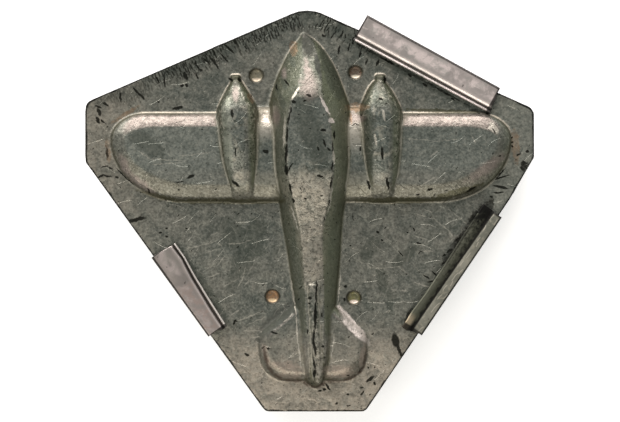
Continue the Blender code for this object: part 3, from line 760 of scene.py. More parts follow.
def folded_clip(name, run, reach, stand_out):
    """A clip before it is placed: a strip on edge, its two sides drawn in over the flanges and bent."""
    first, last, lip_height, bends = run
    length = math.dist(first, last)
    rest()
    bpy.ops.mesh.primitive_grid_add(x_subdivisions=2, y_subdivisions=CLIP_ROWS, size=MM)
    piece = named(name)
    work_on(piece)
    pick_all()
    stretch(2 * CLIP_BACK_HEIGHT, length, 1)
    bpy.ops.transform.rotate(value=math.pi / 2, orient_axis="Y", center_override=(0, 0, 0))
    move(x=CLIP_SHEET / 2)
    section = clip_section(reach[0], lip_height)
    for way in (1, -1):
        for (inward, up), (next_in, next_up) in zip(section, section[1:]):
            pick(lambda place: abs(place.x - inward) < SAME and abs(place.z - way * up) < SAME)
            pull_out(x=next_in - inward, z=way * (next_up - up))
    rows = [length * (0.5 - row / CLIP_ROWS) for row in range(CLIP_ROWS + 1)]
    for row, y in enumerate(rows):
        there = clip_section(reach_at(reach, row / CLIP_ROWS), lip_height)
        for (inward, up), (next_in, _) in zip(section[1:], there[1:]):
            pick(
                lambda place: abs(place.y - y) < CLOSE
                and abs(abs(place.z) - up) < SAME
                and place.x > CLIP_SHEET
            )
            move(x=next_in - inward)
    for ends, out in zip((rows[:CLIP_END_ROWS], rows[-CLIP_END_ROWS:][::-1]), stand_out):
        way = 1 if ends[0] > 0 else -1
        for y in ends[::-1]:
            for line in (reach[0][1] / 2, reach[0][1]):
                pick(lambda place: place.x > line and place.y * way > y * way - CLOSE)
                move(y=way * out / CLIP_END_ROWS / 2)
    for height, bend in zip((CLIP_BACK_HEIGHT, CLIP_KNEE_HEIGHT, CLIP_PINCH_HEIGHT), bends):
        pick(lambda place: abs(abs(place.z) - height) < SAME)
        bpy.ops.mesh.bevel(offset=bend * MM, segments=4, affect="EDGES")
    rest()
    return piece, length


def reach_at(reach, share):
    """The row of a clip's table at a share of its length."""
    shares = [row[0] for row in reach]
    return [float(np.interp(share, shares, [row[k] for row in reach])) for k in range(4)]


def clip_section(reach, lip_height):
    """One side of a clip's section, as (inward, up), from its back to its lip's edge."""
    _, knee, pinch, lip = reach
    half = CLIP_SHEET / 2
    places = []
    for share in (0.0,) + LEG_STEPS + (1.0,):
        fall = (CLIP_BACK_HEIGHT - CLIP_KNEE_HEIGHT) * share
        places.append((half + (knee - half) * share, CLIP_BACK_HEIGHT - fall))
    places.append((pinch, CLIP_PINCH_HEIGHT))
    places.append(((pinch + lip) / 2, CLIP_PINCH_HEIGHT + (lip_height - CLIP_PINCH_HEIGHT) * LIP_CURVE))
    places.append((lip, lip_height))
    return places


def place_clip(piece, length, run, reach):
    """Gives a clip its thickness, keeps where its folds lie, and turns it into place."""
    finish_with(piece, "SOLIDIFY", thickness=CLIP_SHEET * MM, offset=0, use_even_offset=True)
    round_rim(piece)
    places = read_points(piece.data, "co") / MM
    share = 0.5 - places[:, 1] / length
    folds = [np.interp(share, [row[0] for row in reach], [row[k] for row in reach]) for k in (1, 2, 3)]
    station = np.zeros(len(share))
    before = np.full(len(share), CLIP_SHEET / 2)
    for fold in folds:
        station += np.clip((places[:, 0] - before) / (fold - before), 0, 1)
        before = fold
    keep_value(piece.data, "station", station)
    keep_value(piece.data, "along", share)
    first, last = run[:2]
    across = Vector((last[0] - first[0], last[1] - first[1])).normalized()
    piece.location = ((first[0] + last[0]) / 2 * MM, (first[1] + last[1]) / 2 * MM, MIDDLE * MM)
    piece.rotation_euler.z = math.atan2(across.x, -across.y)
    settle(piece)
    smooth(piece)


def curl_corner(piece, length):
    """Turns up the corner of the widest lip, at its first end."""
    work_on(piece)
    for reach_in, back, up, out in CORNER_STEPS:
        pick(lambda place: place.x > reach_in and place.y > length / 2 - back and place.z > 0)
        move(x=-out, y=out, z=up)
    rest()


def clip(name, run, reach, ends, curled=False):
    """One clip, folded, placed and handed over under its name in the frame."""
    piece, length = folded_clip(name + "_spring", run, reach, ends)
    if curled:
        curl_corner(piece, length)
    place_clip(piece, length, run, reach)
    hand_over(piece, name + "_clip", "clip_" + name)
    return piece


upper_right = clip("upper_right", UPPER_RIGHT, UPPER_RIGHT_REACH, UPPER_RIGHT_ENDS)
lower_left = clip("lower_left", LOWER_LEFT, LOWER_LEFT_REACH, LOWER_LEFT_ENDS)
lower_right = clip(
    "lower_right", LOWER_RIGHT, LOWER_RIGHT_REACH, LOWER_RIGHT_ENDS, curled=True
)


# Finishes


def screen(red, green, blue):
    """A colour given as it looks on a screen, from 0 to 255."""
    parts = [c / 255 for c in (red, green, blue)]
    return tuple(c / 12.92 if c < 0.04045 else ((c + 0.055) / 1.055) ** 2.4 for c in parts) + (1,)


class Value:
    """One output of a node. Sums and products of values add the nodes that work them out."""

    def __init__(self, nodes, socket):
        self.nodes = nodes
        self.socket = socket

    def __add__(self, other):
        return self.nodes.maths("ADD", self, other)

    def __radd__(self, other):
        return self.nodes.maths("ADD", other, self)

    def __sub__(self, other):
        return self.nodes.maths("SUBTRACT", self, other)

    def __rsub__(self, other):
        return self.nodes.maths("SUBTRACT", other, self)

    def __mul__(self, other):
        return self.nodes.maths("MULTIPLY", self, other)

    def __truediv__(self, other):
        return self.nodes.maths("DIVIDE", self, other)

    def __rtruediv__(self, other):
        return self.nodes.maths("DIVIDE", other, self)

    def __abs__(self):
        return self.nodes.maths("ABSOLUTE", self)

    def fade(self, start, end):
        """From 0 at start to 1 at end, smoothly."""
        ends = {"Value": self, "From Min": start, "From Max": end}
        return self.nodes.add("MapRange", ends, interpolation_type="SMOOTHSTEP")["Result"]

    def paint(self, colour, mask):
        return self.nodes.paint(self, colour, mask)


class Outputs:
    """The outputs of a node as values, by name or number."""

    def __init__(self, nodes, sockets):
        self.nodes = nodes
        self.sockets = sockets

    def __getitem__(self, key):
        return Value(self.nodes, self.sockets[key])


class Nodes:
    """Adds nodes to one tree and joins them."""

    def __init__(self, tree):
        self.tree = tree

    def join(self, value, socket):
        if isinstance(value, Value):
            self.tree.links.new(value.socket, socket)
        else:
            socket.default_value = value

    def fill(self, node, inputs):
        for key, value in dict(inputs).items():
            self.join(value, node.inputs[key])

    def add(self, kind, inputs=(), **settings):
        node = self.tree.nodes.new("ShaderNode" + kind)
        for key, value in settings.items():
            setattr(node, key, value)
        self.fill(node, inputs)
        return Outputs(self, node.outputs)

    def maths(self, operation, a, b=0.0, clamp=False):
        return self.add("Math", {0: a, 1: b}, operation=operation, use_clamp=clamp)[0]

    def paint(self, under, over, mask):
        """One colour over another where the mask says. A colour may be as on a screen, from 0 to 255."""
        under, over = (screen(*colour) if isinstance(colour, tuple) else colour for colour in (under, over))
        return self.add("Mix", {0: mask, 6: under, 7: over}, data_type="RGBA")[2]

    def vector(self, operation, a, b):
        output = "Value" if operation == "DOT_PRODUCT" else "Vector"
        return self.add("VectorMath", {0: a, 1: b}, operation=operation)[output]

    def shift(self, vector, x=0.0, y=0.0, z=0.0):
        return self.vector("ADD", vector, (x, y, z))

    def noise(self, vector, scale, detail=2.0, roughness=0.5, distortion=0.0):
        inputs = {"Vector": vector, "Scale": scale, "Detail": detail, "Roughness": roughness}
        return self.add("TexNoise", inputs | {"Distortion": distortion})["Fac"]

    def kept(self, name):
        """A value that is kept at the points of the mesh."""
        return self.add("Attribute", attribute_name=name)["Fac"]


def most(first, *others):
    """The greatest of some values, point by point."""
    for other in others:
        first = first.nodes.maths("MAXIMUM", first, other)
    return first


def new_group(name, inputs, outputs):
    """A node group over a place and some numbers; gives its nodes, its inputs and what joins an output."""
    tree = bpy.data.node_groups.new(name, "ShaderNodeTree")
    tree.interface.new_socket(name="Vector", in_out="INPUT", socket_type="NodeSocketVector")
    for label in inputs:
        tree.interface.new_socket(name=label, in_out="INPUT", socket_type="NodeSocketFloat")
    for label in outputs:
        tree.interface.new_socket(name=label, in_out="OUTPUT", socket_type="NodeSocketFloat")
    nodes = Nodes(tree)
    given = Outputs(nodes, tree.nodes.new("NodeGroupInput").outputs)
    result = tree.nodes.new("NodeGroupOutput").inputs
    return tree, nodes, given, lambda label, value: nodes.join(value, result[label])


def mottle_group():
    """Dull tin: broad clouds, blotches a few millimetres wide and a fine grain."""
    tree, nodes, given, put = new_group(
        "mottle", ("Cloud Size", "Blotch Size"), ("Cloud", "Blotch", "Grain")
    )
    place = given["Vector"]
    cloud = nodes.noise(place, 1.0 / given["Cloud Size"], 3.0, 0.55, 0.6)
    blotch = nodes.noise(place, 1.0 / given["Blotch Size"], 4.0, 0.6, 0.9)
    grain = nodes.noise(place, 3.0 / given["Blotch Size"], 3.0, 0.65, 0.3)
    put("Cloud", cloud.fade(0.3, 0.7))
    put("Blotch", blotch.fade(0.28, 0.72))
    put("Grain", grain.fade(0.25, 0.75))
    return tree


def speckle_group():
    """Ragged specks, in a share of the cells of a given size."""
    tree, nodes, given, put = new_group("speckle", ("Cell", "Share", "Radius"), ("Mask",))
    ragged = nodes.noise(given["Vector"], 2.5 / given["Cell"], 2.0)
    off = (ragged - 0.5) * (given["Cell"] * 0.55)
    bent = nodes.vector("ADD", given["Vector"], off)
    cells = nodes.add("TexVoronoi", {"Vector": bent, "Scale": 1.0 / given["Cell"]}, voronoi_dimensions="2D")
    chance = nodes.add("SeparateColor", {"Color": cells["Color"]})
    radius = given["Radius"] * (0.4 + chance["Green"] * 0.6)
    near = cells["Distance"] * given["Cell"] / radius
    spot = near.fade(1.0, 0.55)
    put("Mask", spot * nodes.maths("LESS_THAN", chance["Red"], given["Share"]))
    return tree


def scratches_group():
    """Short curved scratches, at most one in each cell, near a given angle and spread about it."""
    tree, nodes, given, put = new_group(
        "scratches", ("Cell", "Share", "Length", "Width", "Angle", "Spread"), ("Mask",)
    )
    cells = nodes.add(
        "TexVoronoi", {"Vector": given["Vector"], "Scale": 1.0 / given["Cell"]}, voronoi_dimensions="2D"
    )
    chance = nodes.add("SeparateColor", {"Color": cells["Color"]})
    off = nodes.vector("SUBTRACT", given["Vector"], cells["Position"])
    swing = (chance["Green"] - 0.5) * given["Spread"]
    turned = nodes.add(
        "VectorRotate", {"Vector": off, "Angle": 0.0 - (given["Angle"] + swing)}, rotation_type="Z_AXIS"
    )
    parts = nodes.add("SeparateXYZ", {"Vector": turned[0]})
    along = parts["X"] / (given["Length"] * 0.5)
    square = along * along
    bend = (chance["Blue"] - 0.5) * (given["Length"] * 0.25)
    across = abs(parts["Y"] + square * bend)
    line = (across / given["Width"]).fade(1.0, 0.2)
    ends = square.fade(1.0, 0.5)
    put("Mask", line * ends * nodes.maths("LESS_THAN", chance["Red"], given["Share"]))
    return tree


def dents_group():
    """Shallow knocks in the sheet: soft rounds of a given size, as a height."""
    tree, nodes, given, put = new_group("dents", ("Size",), ("Height",))
    put("Height", nodes.noise(given["Vector"], 1.0 / given["Size"], 1.0, 0.4))
    return tree


MOTTLE = mottle_group()
SPECKLE = speckle_group()
SCRATCHES = scratches_group()
DENTS = dents_group()


def mottled(nodes, place, cloud_size, blotch_size):
    sizes = {"Vector": place, "Cloud Size": cloud_size, "Blotch Size": blotch_size}
    mottle = nodes.add("Group", sizes, node_tree=MOTTLE)
    return mottle["Cloud"], mottle["Blotch"], mottle["Grain"]


def specks(nodes, place, cell, share, radius):
    sizes = {"Vector": place, "Cell": cell, "Share": share, "Radius": radius}
    return nodes.add("Group", sizes, node_tree=SPECKLE)["Mask"]


def scratches(nodes, place, cell, share, length, width, angle, spread):
    sizes = {"Vector": place, "Cell": cell, "Share": share, "Length": length, "Width": width}
    return nodes.add("Group", sizes | {"Angle": angle, "Spread": spread}, node_tree=SCRATCHES)["Mask"]


def material(name):
    made = bpy.data.materials.new(name)
    made.use_nodes = True
    return made, Nodes(made.node_tree), made.node_tree.nodes["Principled BSDF"]


def wear(piece, finish):
    piece.data.materials.clear()
    piece.data.materials.append(finish)


def nearness(nodes, flat, rows):
    """How near each point lies to the nearest of some marks: 0 on its middle line, 1 at its edge.

    A mark is (x, y, x, y, width). The point is (x, y, 1), so that one dot product tells how far it
    lies along a mark, and one how far across.
    """
    nearest = None
    for ax, ay, bx, by, width in rows:
        angle = math.atan2(by - ay, bx - ax)
        middle = Vector(((ax + bx) / 2, (ay + by) / 2))
        square = 0.0
        for turned, size in ((angle, math.hypot(bx - ax, by - ay) + width), (angle + math.pi / 2, width)):
            way = Vector((math.cos(turned), math.sin(turned))) * 2 / size
            off = nodes.vector("DOT_PRODUCT", flat, (way.x, way.y, -way.dot(middle)))
            square = nodes.add("Math", {0: off, 1: off, 2: square}, operation="MULTIPLY_ADD")[0]
        nearest = square if nearest is None else nodes.maths("MINIMUM", nearest, square)
    return nodes.maths("SQRT", nearest)


def marks(nodes, flat, rows, ragged=0.0, outer=1.25, inner=0.8):
    """Some marks (x, y, x, y, width) as one mask with a soft, more or less ragged edge."""
    return (nearness(nodes, flat, rows) + ragged).fade(outer, inner)


# Marks on the front, in millimetres, each with its two ends and its width: x, y, x, y, width.
# Black scratches and spots, from the upper left flange round to the lower left, the foot and the right
BLACK_MARKS = (
    (-72.1, 44.9, -71.8, 41.5, 0.9), (-67.0, 46.7, -65.1, 44.8, 0.9), (-65.3, 45.0, -63.2, 42.8, 1.0),
    (-78.3, 41.1, -77.0, 40.2, 0.8), (-80.5, 38.6, -79.8, 36.8, 1.2), (-80.8, 35.2, -80.2, 33.8, 1.2),
    (-81.4, 40.0, -79.4, 39.3, 0.8), (-79.2, 34.6, -78.2, 33.8, 0.7), (-58.4, 50.8, -57.3, 49.0, 0.8),
    (-55.3, 52.4, -55.2, 47.1, 0.7), (-48.8, 47.7, -48.4, 47.7, 0.9), (-47.0, 47.8, -46.6, 47.6, 0.9),
    (-47.6, 52.2, -46.9, 50.4, 1.5), (-43.3, 52.4, -42.4, 50.5, 0.7), (-43.7, 56.9, -42.2, 53.8, 0.8),
    (-41.7, 53.8, -41.3, 53.6, 0.8), (-40.3, 58.0, -38.5, 56.5, 0.8), (-37.3, 58.0, -34.8, 54.3, 1.0),
    (-33.9, 59.9, -31.3, 56.9, 0.8), (-32.5, 63.3, -29.1, 60.3, 0.8), (-29.1, 65.5, -27.9, 63.6, 1.1),
    (-36.9, 61.4, -36.0, 59.5, 0.8), (-51.8, 38.9, -49.0, 39.4, 1.3), (-57.8, 41.5, -57.3, 41.5, 0.7),
    (-79.2, 16.6, -76.8, 17.1, 0.6), (-76.2, 16.4, -75.0, 16.0, 0.6), (-80.6, 12.6, -78.6, 13.8, 0.8),
    (-78.8, 13.8, -75.8, 13.0, 0.8), (-73.6, 12.9, -73.1, 12.8, 0.8), (-73.4, 16.0, -67.2, 10.1, 0.5),
    (-68.9, -4.0, -63.2, -2.6, 1.5), (-54.5, -6.6, -54.2, -6.6, 0.8), (-57.2, -8.4, -56.6, -8.2, 0.7),
    (-54.5, -9.7, -54.2, -9.7, 0.9), (-47.1, -6.6, -46.9, -6.6, 0.7), (-50.5, 10.9, -47.8, 11.1, 0.5),
    (-46.0, 12.6, -44.0, 13.4, 1.0), (-61.4, 8.4, -61.0, 6.8, 0.6), (-29.0, -43.0, -28.2, -41.6, 0.9),
    (-28.6, -41.7, -27.4, -41.9, 0.5), (-14.4, -46.0, -12.6, -46.4, 0.8),
    (-16.1, -52.2, -15.6, -52.4, 0.7), (-24.5, -54.4, -23.4, -54.9, 0.9), (3.5, -68.5, 3.9, -68.5, 1.0),
    (5.3, -67.9, 5.8, -67.9, 1.0), (6.3, -65.9, 7.5, -67.7, 1.0), (22.1, -64.6, 23.9, -63.2, 1.2),
    (24.6, -65.2, 24.8, -66.0, 0.7), (22.2, -59.2, 22.2, -59.7, 0.6), (24.8, -59.2, 24.8, -59.6, 0.6),
    (20.4, -68.6, 19.7, -69.9, 0.8), (19.6, -67.3, 20.3, -67.3, 0.6), (14.4, -69.8, 14.7, -69.8, 0.8),
    (14.4, -62.3, 14.7, -62.3, 0.7), (9.9, -73.2, 10.4, -73.2, 0.8), (14.3, -74.0, 15.4, -74.0, 0.5),
    (25.7, -7.9, 26.1, -8.2, 1.0), (27.3, -10.9, 27.6, -11.2, 0.6), (39.4, -6.5, 39.6, -7.4, 0.7),
    (36.9, -8.0, 37.2, -8.2, 0.5), (41.0, -12.1, 42.0, -12.4, 0.7), (33.8, -15.4, 35.2, -17.0, 0.5),
    (52.4, -15.7, 54.1, -14.5, 0.9), (50.8, -17.0, 51.5, -16.6, 0.8), (56.2, -11.8, 56.9, -11.3, 0.9),
    (61.6, -4.9, 63.6, -5.5, 0.8), (43.2, -24.2, 45.4, -25.6, 0.6), (46.4, -23.0, 48.2, -24.6, 0.6),
    (44.8, -27.0, 47.6, -26.6, 0.5), (16.3, -1.2, 16.6, -3.6, 0.4), (15.2, -13.2, 15.4, -13.2, 0.6),
    (14.9, -19.0, 15.1, -19.0, 0.5), (13.4, -28.6, 13.7, -28.6, 0.9), (13.2, -33.2, 13.3, -34.2, 0.7),
    (82.5, 22.6, 82.8, 22.7, 1.0), (79.0, 21.2, 80.0, 21.7, 0.7), (76.8, 27.8, 77.0, 27.8, 0.5),
    (77.0, 26.2, 77.1, 26.2, 0.7), (76.9, 24.6, 77.1, 24.6, 0.6), (80.8, 18.4, 82.6, 18.2, 0.8),
    (80.6, 16.6, 81.2, 15.8, 1.2), (82.0, 16.8, 82.8, 17.4, 0.7), (70.8, 12.0, 75.2, 13.6, 0.7),
    (73.6, 13.4, 76.2, 13.6, 0.4), (70.2, 9.7, 75.0, 8.6, 0.9), (69.8, 7.0, 73.7, 7.1, 0.6),
    (68.8, 5.6, 69.3, 5.4, 0.8), (71.0, 12.3, 74.2, 16.3, 0.5), (70.4, 29.4, 69.2, 31.2, 0.5),
    (59.6, 7.4, 62.6, 9.0, 0.9), (45.0, 8.0, 46.2, 8.4, 0.8), (40.7, 6.2, 41.4, 6.4, 0.7),
    (71.9, 20.8, 72.3, 20.9, 0.7), (34.2, 64.4, 33.2, 61.6, 0.9), (21.8, 57.6, 21.2, 55.8, 0.7),
    (19.4, 60.4, 18.8, 58.4, 0.7), (15.4, 63.8, 14.6, 61.0, 0.7), (16.8, 66.0, 16.4, 63.8, 0.8),
    (11.4, 62.6, 10.8, 59.8, 0.7), (12.6, 68.4, 12.0, 66.2, 0.7), (8.8, 66.8, 8.2, 65.8, 0.7),
    (5.0, 66.9, 5.6, 66.7, 0.9), (0.2, -76.1, 20.0, -76.1, 0.9), (32.4, -48.1, 32.9, -50.4, 3.0),
    (26.2, 57.2, 25.4, 55.4, 0.8), (37.6, 51.9, 38.4, 51.3, 0.8), (43.3, 48.3, 44.3, 47.7, 0.8),
    (54.0, 42.7, 54.8, 42.3, 0.7), (33.0, -50.4, 35.4, -56.2, 1.2),
)
# Black marks on the raised forms: along the fuselage from its nose back, then the nacelles
FORM_MARKS = (
    (-6.3, 41.1, -5.8, 41.1, 1.2), (-0.9, 43.7, 0.2, 43.3, 0.9), (-2.0, 41.5, -1.5, 41.5, 0.7),
    (-7.0, 39.2, -7.3, 36.6, 0.6), (-7.7, 36.6, -8.3, 32.4, 0.7), (-8.3, 31.4, -8.7, 26.0, 0.9),
    (-8.7, 25.2, -8.9, 18.4, 1.0), (-9.0, 16.8, -8.6, 14.0, 1.4), (-8.0, 15.2, -6.5, 18.0, 0.6),
    (-7.6, 10.0, -6.9, 6.6, 0.8), (-6.4, 4.4, -6.0, 3.4, 1.0), (4.6, 30.6, 5.6, 30.5, 1.3),
    (5.2, 26.6, 5.8, 24.4, 0.7), (3.0, 23.9, 3.4, 23.0, 0.9), (6.8, 23.6, 7.6, 22.8, 0.7),
    (9.2, 30.0, 9.3, 27.6, 0.8), (8.6, 26.0, 8.7, 22.2, 0.5), (8.4, 18.0, 8.5, 15.6, 0.8),
    (8.3, 12.4, 8.0, 8.6, 0.6), (7.4, 4.0, 7.1, 2.2, 0.5), (5.4, -2.6, 5.5, -3.2, 0.6),
    (3.2, 13.3, 4.6, 13.1, 0.9), (4.2, 5.8, 4.6, 5.8, 0.7), (-1.8, 4.8, -1.4, 4.6, 0.7),
    (2.6, -26.2, 2.3, -34.6, 0.7), (2.2, -34.4, 1.9, -44.6, 1.1), (1.6, -45.4, 1.4, -50.0, 1.0),
    (1.6, -49.6, 2.2, -54.4, 1.1), (1.5, -56.4, 2.1, -59.6, 0.9), (2.0, -60.4, 1.6, -62.4, 1.2),
    (-0.1, -32.9, 0.2, -32.9, 1.2), (-0.1, -34.8, 0.1, -34.8, 0.8), (4.6, -38.6, 4.6, -40.2, 0.6),
    (4.8, -51.4, 5.1, -51.2, 0.8), (-0.8, -45.0, -0.8, -46.6, 0.6), (-12.7, 47.6, -12.4, 46.2, 0.8),
    (-9.4, 49.6, -8.0, 47.6, 0.8), (-30.4, 50.3, -29.4, 49.5, 1.0), (-27.0, 50.2, -26.4, 49.4, 1.0),
    (-29.4, 37.8, -29.2, 35.6, 1.1), (-17.0, 22.7, -16.4, 22.4, 1.5), (-28.0, 23.6, -27.9, 21.0, 0.6),
    (-29.3, 11.4, -27.0, 9.6, 0.9), (26.6, 42.6, 27.0, 42.2, 0.9), (19.3, 24.2, 19.0, 22.8, 0.7),
    (16.1, 32.4, 17.4, 33.1, 0.4), (17.4, 33.1, 18.6, 32.6, 0.4), (27.2, 23.6, 27.5, 20.0, 1.1),
    (22.0, 11.2, 22.6, 8.6, 1.0), (29.2, 12.2, 29.8, 8.8, 1.1), (28.4, 50.4, 28.5, 49.0, 1.0),
)
# Pale scratches, first on the lower left flange and the left wing, then on the right
PALE_MARKS = (
    (-45.8, -14.2, -40.8, -13.0, 0.45), (-41.0, -13.1, -35.0, -11.3, 0.45),
    (-37.7, -9.3, -35.4, -8.3, 0.45), (-34.6, -12.4, -33.8, -13.2, 0.6),
    (-30.8, -12.5, -26.2, -12.3, 0.5), (-26.6, -12.4, -22.1, -10.9, 0.5),
    (-39.6, -15.9, -34.7, -14.4, 0.4), (-35.1, -20.8, -32.6, -17.5, 0.4),
    (-39.2, -25.3, -33.9, -23.5, 0.5), (-24.6, -21.6, -25.5, -26.0, 0.45),
    (-25.4, -25.4, -27.4, -29.3, 0.45), (-32.6, -28.7, -27.3, -25.8, 0.45),
    (-24.9, -28.4, -23.0, -26.2, 0.5), (-29.8, -39.4, -26.8, -37.6, 0.5),
    (-28.5, -42.4, -22.8, -40.0, 0.45), (-23.4, -40.2, -17.6, -37.9, 0.45),
    (-24.6, -45.6, -19.2, -45.4, 0.5), (-22.8, -48.4, -19.2, -47.8, 0.6),
    (-24.0, -43.4, -17.0, -40.4, 0.4), (-9.6, -42.0, -6.7, -39.0, 0.5),
    (-10.3, -57.1, -7.4, -55.4, 0.5), (-7.6, -55.4, -4.9, -54.8, 0.6), (-64.9, 22.8, -60.2, 19.6, 0.5),
    (-60.6, 19.8, -46.7, 18.9, 0.4), (-48.6, 20.8, -36.5, 22.4, 0.4), (-59.6, 17.6, -48.0, 18.4, 0.4),
    (18.8, -19.3, 22.0, -20.2, 0.5), (21.9, -20.1, 23.2, -22.2, 0.5), (24.4, -21.6, 28.0, -21.9, 0.7),
    (28.3, -21.6, 34.2, -21.3, 0.4), (33.8, -21.2, 37.6, -24.2, 0.4), (40.5, -1.1, 47.4, -3.0, 0.45),
    (47.0, -2.9, 52.8, -7.4, 0.5), (52.4, -7.2, 54.4, -9.6, 0.45), (43.6, 0.6, 47.0, -0.8, 0.4),
    (51.0, 2.1, 58.8, -4.1, 0.4), (58.4, -3.8, 61.0, -6.0, 0.5), (37.9, -6.9, 38.2, -7.9, 0.8),
    (40.2, -9.6, 45.0, -11.0, 0.5), (43.2, -15.2, 46.6, -15.4, 0.6), (39.8, -27.2, 45.8, -29.0, 0.45),
    (31.4, -29.8, 32.6, -30.0, 0.7), (34.5, -30.1, 37.2, -30.4, 0.6), (29.0, -38.6, 30.4, -37.8, 0.7),
    (42.0, 9.6, 47.6, 13.0, 0.4), (34.6, 27.6, 46.0, 26.8, 0.35), (45.0, 26.0, 57.0, 27.4, 0.35),
    (45.6, 20.6, 48.4, 22.6, 0.5), (61.4, 28.6, 62.8, 25.6, 0.5),
)
# Edges that are worn bright
WORN_MARKS = (
    (-6.8, 42.1, -4.0, 46.6, 0.9), (-9.3, 35.6, -9.9, 24.4, 0.8), (9.0, 22.0, 9.3, 18.2, 0.9),
    (-6.9, 1.4, -4.4, -7.0, 0.6), (-7.2, -26.0, -5.3, -38.4, 0.6), (-5.2, -38.6, -4.6, -49.6, 0.6),
    (-4.5, -50.0, -3.2, -59.4, 0.5), (11.6, -24.6, 10.8, -34.8, 0.5), (9.2, -48.0, 8.2, -55.4, 0.5),
    (8.6, 9.0, 7.0, 0.0, 0.7), (27.7, 37.8, 28.4, 34.4, 0.9), (24.6, 28.7, 25.2, 25.4, 0.8),
    (69.2, 32.6, 70.6, 30.2, 2.2), (68.4, 31.6, 69.4, 30.4, 1.4),
)
# Rust and brown stains
RUST_MARKS = (
    (78.0, 28.6, 78.4, 19.6, 3.2), (15.2, 39.4, 20.2, 39.4, 3.2), (15.4, 37.0, 15.6, 33.4, 1.0),
    (-6.4, 63.4, -6.0, 60.4, 3.0), (-77.2, 26.6, -76.2, 19.4, 1.8), (-74.6, 34.0, -66.0, 39.4, 1.6),
    (-23.0, 44.0, -22.0, 41.8, 1.6),
)
# Soot on the flange, most beside the lower right clip, and a painted shadow along the upper clip's lip
SOOT_AND_SHADOW_MARKS = (
    (68.4, 3.2, 67.6, -1.4, 3.4), (66.4, 1.2, 59.6, -8.4, 4.6), (60.0, -7.6, 52.2, -18.6, 3.8),
    (39.0, -37.4, 36.6, -41.8, 1.8), (81.2, 18.6, 82.2, 14.8, 2.0), (17.6, 63.7, 60.0, 40.3, 0.9),
    (68.0, 37.2, 61.2, 38.6, 1.4), (-77.4, 24.2, -77.0, 20.6, 1.0),
)
# Painted shade and cast shadows beside the clips, in the lower right flange, and elsewhere on the flange
# and forms
SHADE_MARKS = (
    (-51.0, -12.6, -30.4, -43.0, 3.2), (27.2, -23.6, 27.8, -28.6, 4.0), (30.2, -31.6, 30.6, -36.6, 2.6),
    (33.6, -19.0, 39.0, -15.0, 4.0), (24.6, -12.0, 21.0, -17.0, 5.0), (17.4, 63.0, 60.0, 39.6, 2.6),
    (52.6, -18.0, 45.6, -28.0, 4.0), (46.2, -27.0, 38.4, -38.0, 2.8), (4.6, 60.6, 8.6, 52.0, 3.4),
    (8.8, 51.6, 11.4, 44.0, 3.6), (-7.0, 59.0, -6.2, 55.4, 2.0), (-10.2, 50.8, -9.0, 46.6, 1.8),
    (-12.6, 48.0, -11.6, 44.4, 1.6), (-10.8, 42.8, -9.8, 39.2, 2.2), (24.8, 47.2, 25.6, 40.0, 2.6),
    (-66.0, 28.4, -57.4, 22.4, 6.0), (-30.6, -8.0, -22.0, -14.0, 9.0), (-20.0, -6.0, -28.0, -24.0, 8.0),
    (6.2, 57.2, 9.6, 45.6, 4.4), (30.4, 42.0, 32.6, 34.6, 2.6), (22.2, 38.0, 22.6, 17.0, 3.4),
    (-3.4, 40.6, 4.4, 18.4, 9.0),
)
# The brown line round the foot of the tail
STAIN_MARKS = (
    (-17.5, -51.9, -15.9, -59.1, 1.7), (-15.9, -59.1, -13.7, -61.9, 1.8),
    (-13.7, -61.9, -10.3, -64.0, 1.8), (-10.3, -64.1, -2.6, -64.6, 1.8), (-2.4, -64.7, 0.0, -66.7, 1.7),
    (0.0, -66.7, 3.7, -66.9, 1.7), (3.7, -66.7, 5.9, -64.9, 1.7), (5.9, -64.8, 12.8, -64.6, 1.8),
    (12.8, -64.6, 18.3, -62.3, 1.8), (18.3, -62.3, 20.6, -58.9, 1.7), (20.6, -58.9, 21.5, -52.9, 1.4),
)
# Painted soft highlights: the top of the nose, the wings' tips and roots and the sides of the forms
PAINTED_SHEEN_MARKS = (
    (-1.4, 57.4, -1.3, 54.6, 1.8), (-1.3, 54.6, -0.1, 50.4, 3.4), (-0.1, 50.2, 0.0, 48.2, 5.4),
    (-0.4, 47.6, -0.2, 45.0, 7.2), (-9.6, 53.6, -9.7, 51.2, 2.0), (-12.7, 37.4, -12.6, 33.4, 3.0),
    (-28.2, 46.0, -27.8, 42.0, 2.6), (61.4, 12.6, 72.2, 19.8, 4.4), (-71.6, 20.4, -68.6, 13.4, 3.4),
    (-68.4, 13.4, -60.0, 7.6, 3.4), (16.2, 35.0, 19.4, 35.0, 3.0),
)
# Painted highlights where it shines most: the end of the nose's ridge and one slope of the tail
HIGHLIGHT_MARKS = (
    (4.2, 42.4, 7.3, 36.6, 0.9), (7.9, 34.3, 8.5, 33.7, 1.6), (11.2, -36.8, 17.8, -44.2, 2.2),
    (13.4, -41.0, 21.0, -48.7, 3.3),
)
# Painted shade, dull and rough: the tail's other slope and the tip
DULL_SHADE_MARKS = (
    (-7.2, -36.2, -19.0, -47.2, 6.0), (-6.8, -36.0, -6.0, -38.0, 2.4), (-1.0, 66.0, -0.4, 60.6, 5.0),
    (2.2, 58.8, 3.8, 51.2, 2.0),
)
# The slopes at the foot of the tail, which are pinkish and worn
TAIL_MARKS = (
    (-12.4, -62.0, -4.0, -62.6, 2.8), (6.4, -62.6, 16.2, -61.6, 2.8), (-17.6, -51.0, -15.4, -58.6, 2.2),
    (20.6, -51.0, 19.4, -58.4, 2.0), (-13.0, -58.4, -4.6, -60.2, 5.0), (7.6, -60.6, 15.0, -60.2, 4.4),
)
# Painted light on the left nacelle's left side
LIT_SIDE_MARKS = ((-31.8, 43.4, -31.2, 30.0, 3.2), (-31.4, 32.0, -30.2, 15.0, 3.2))
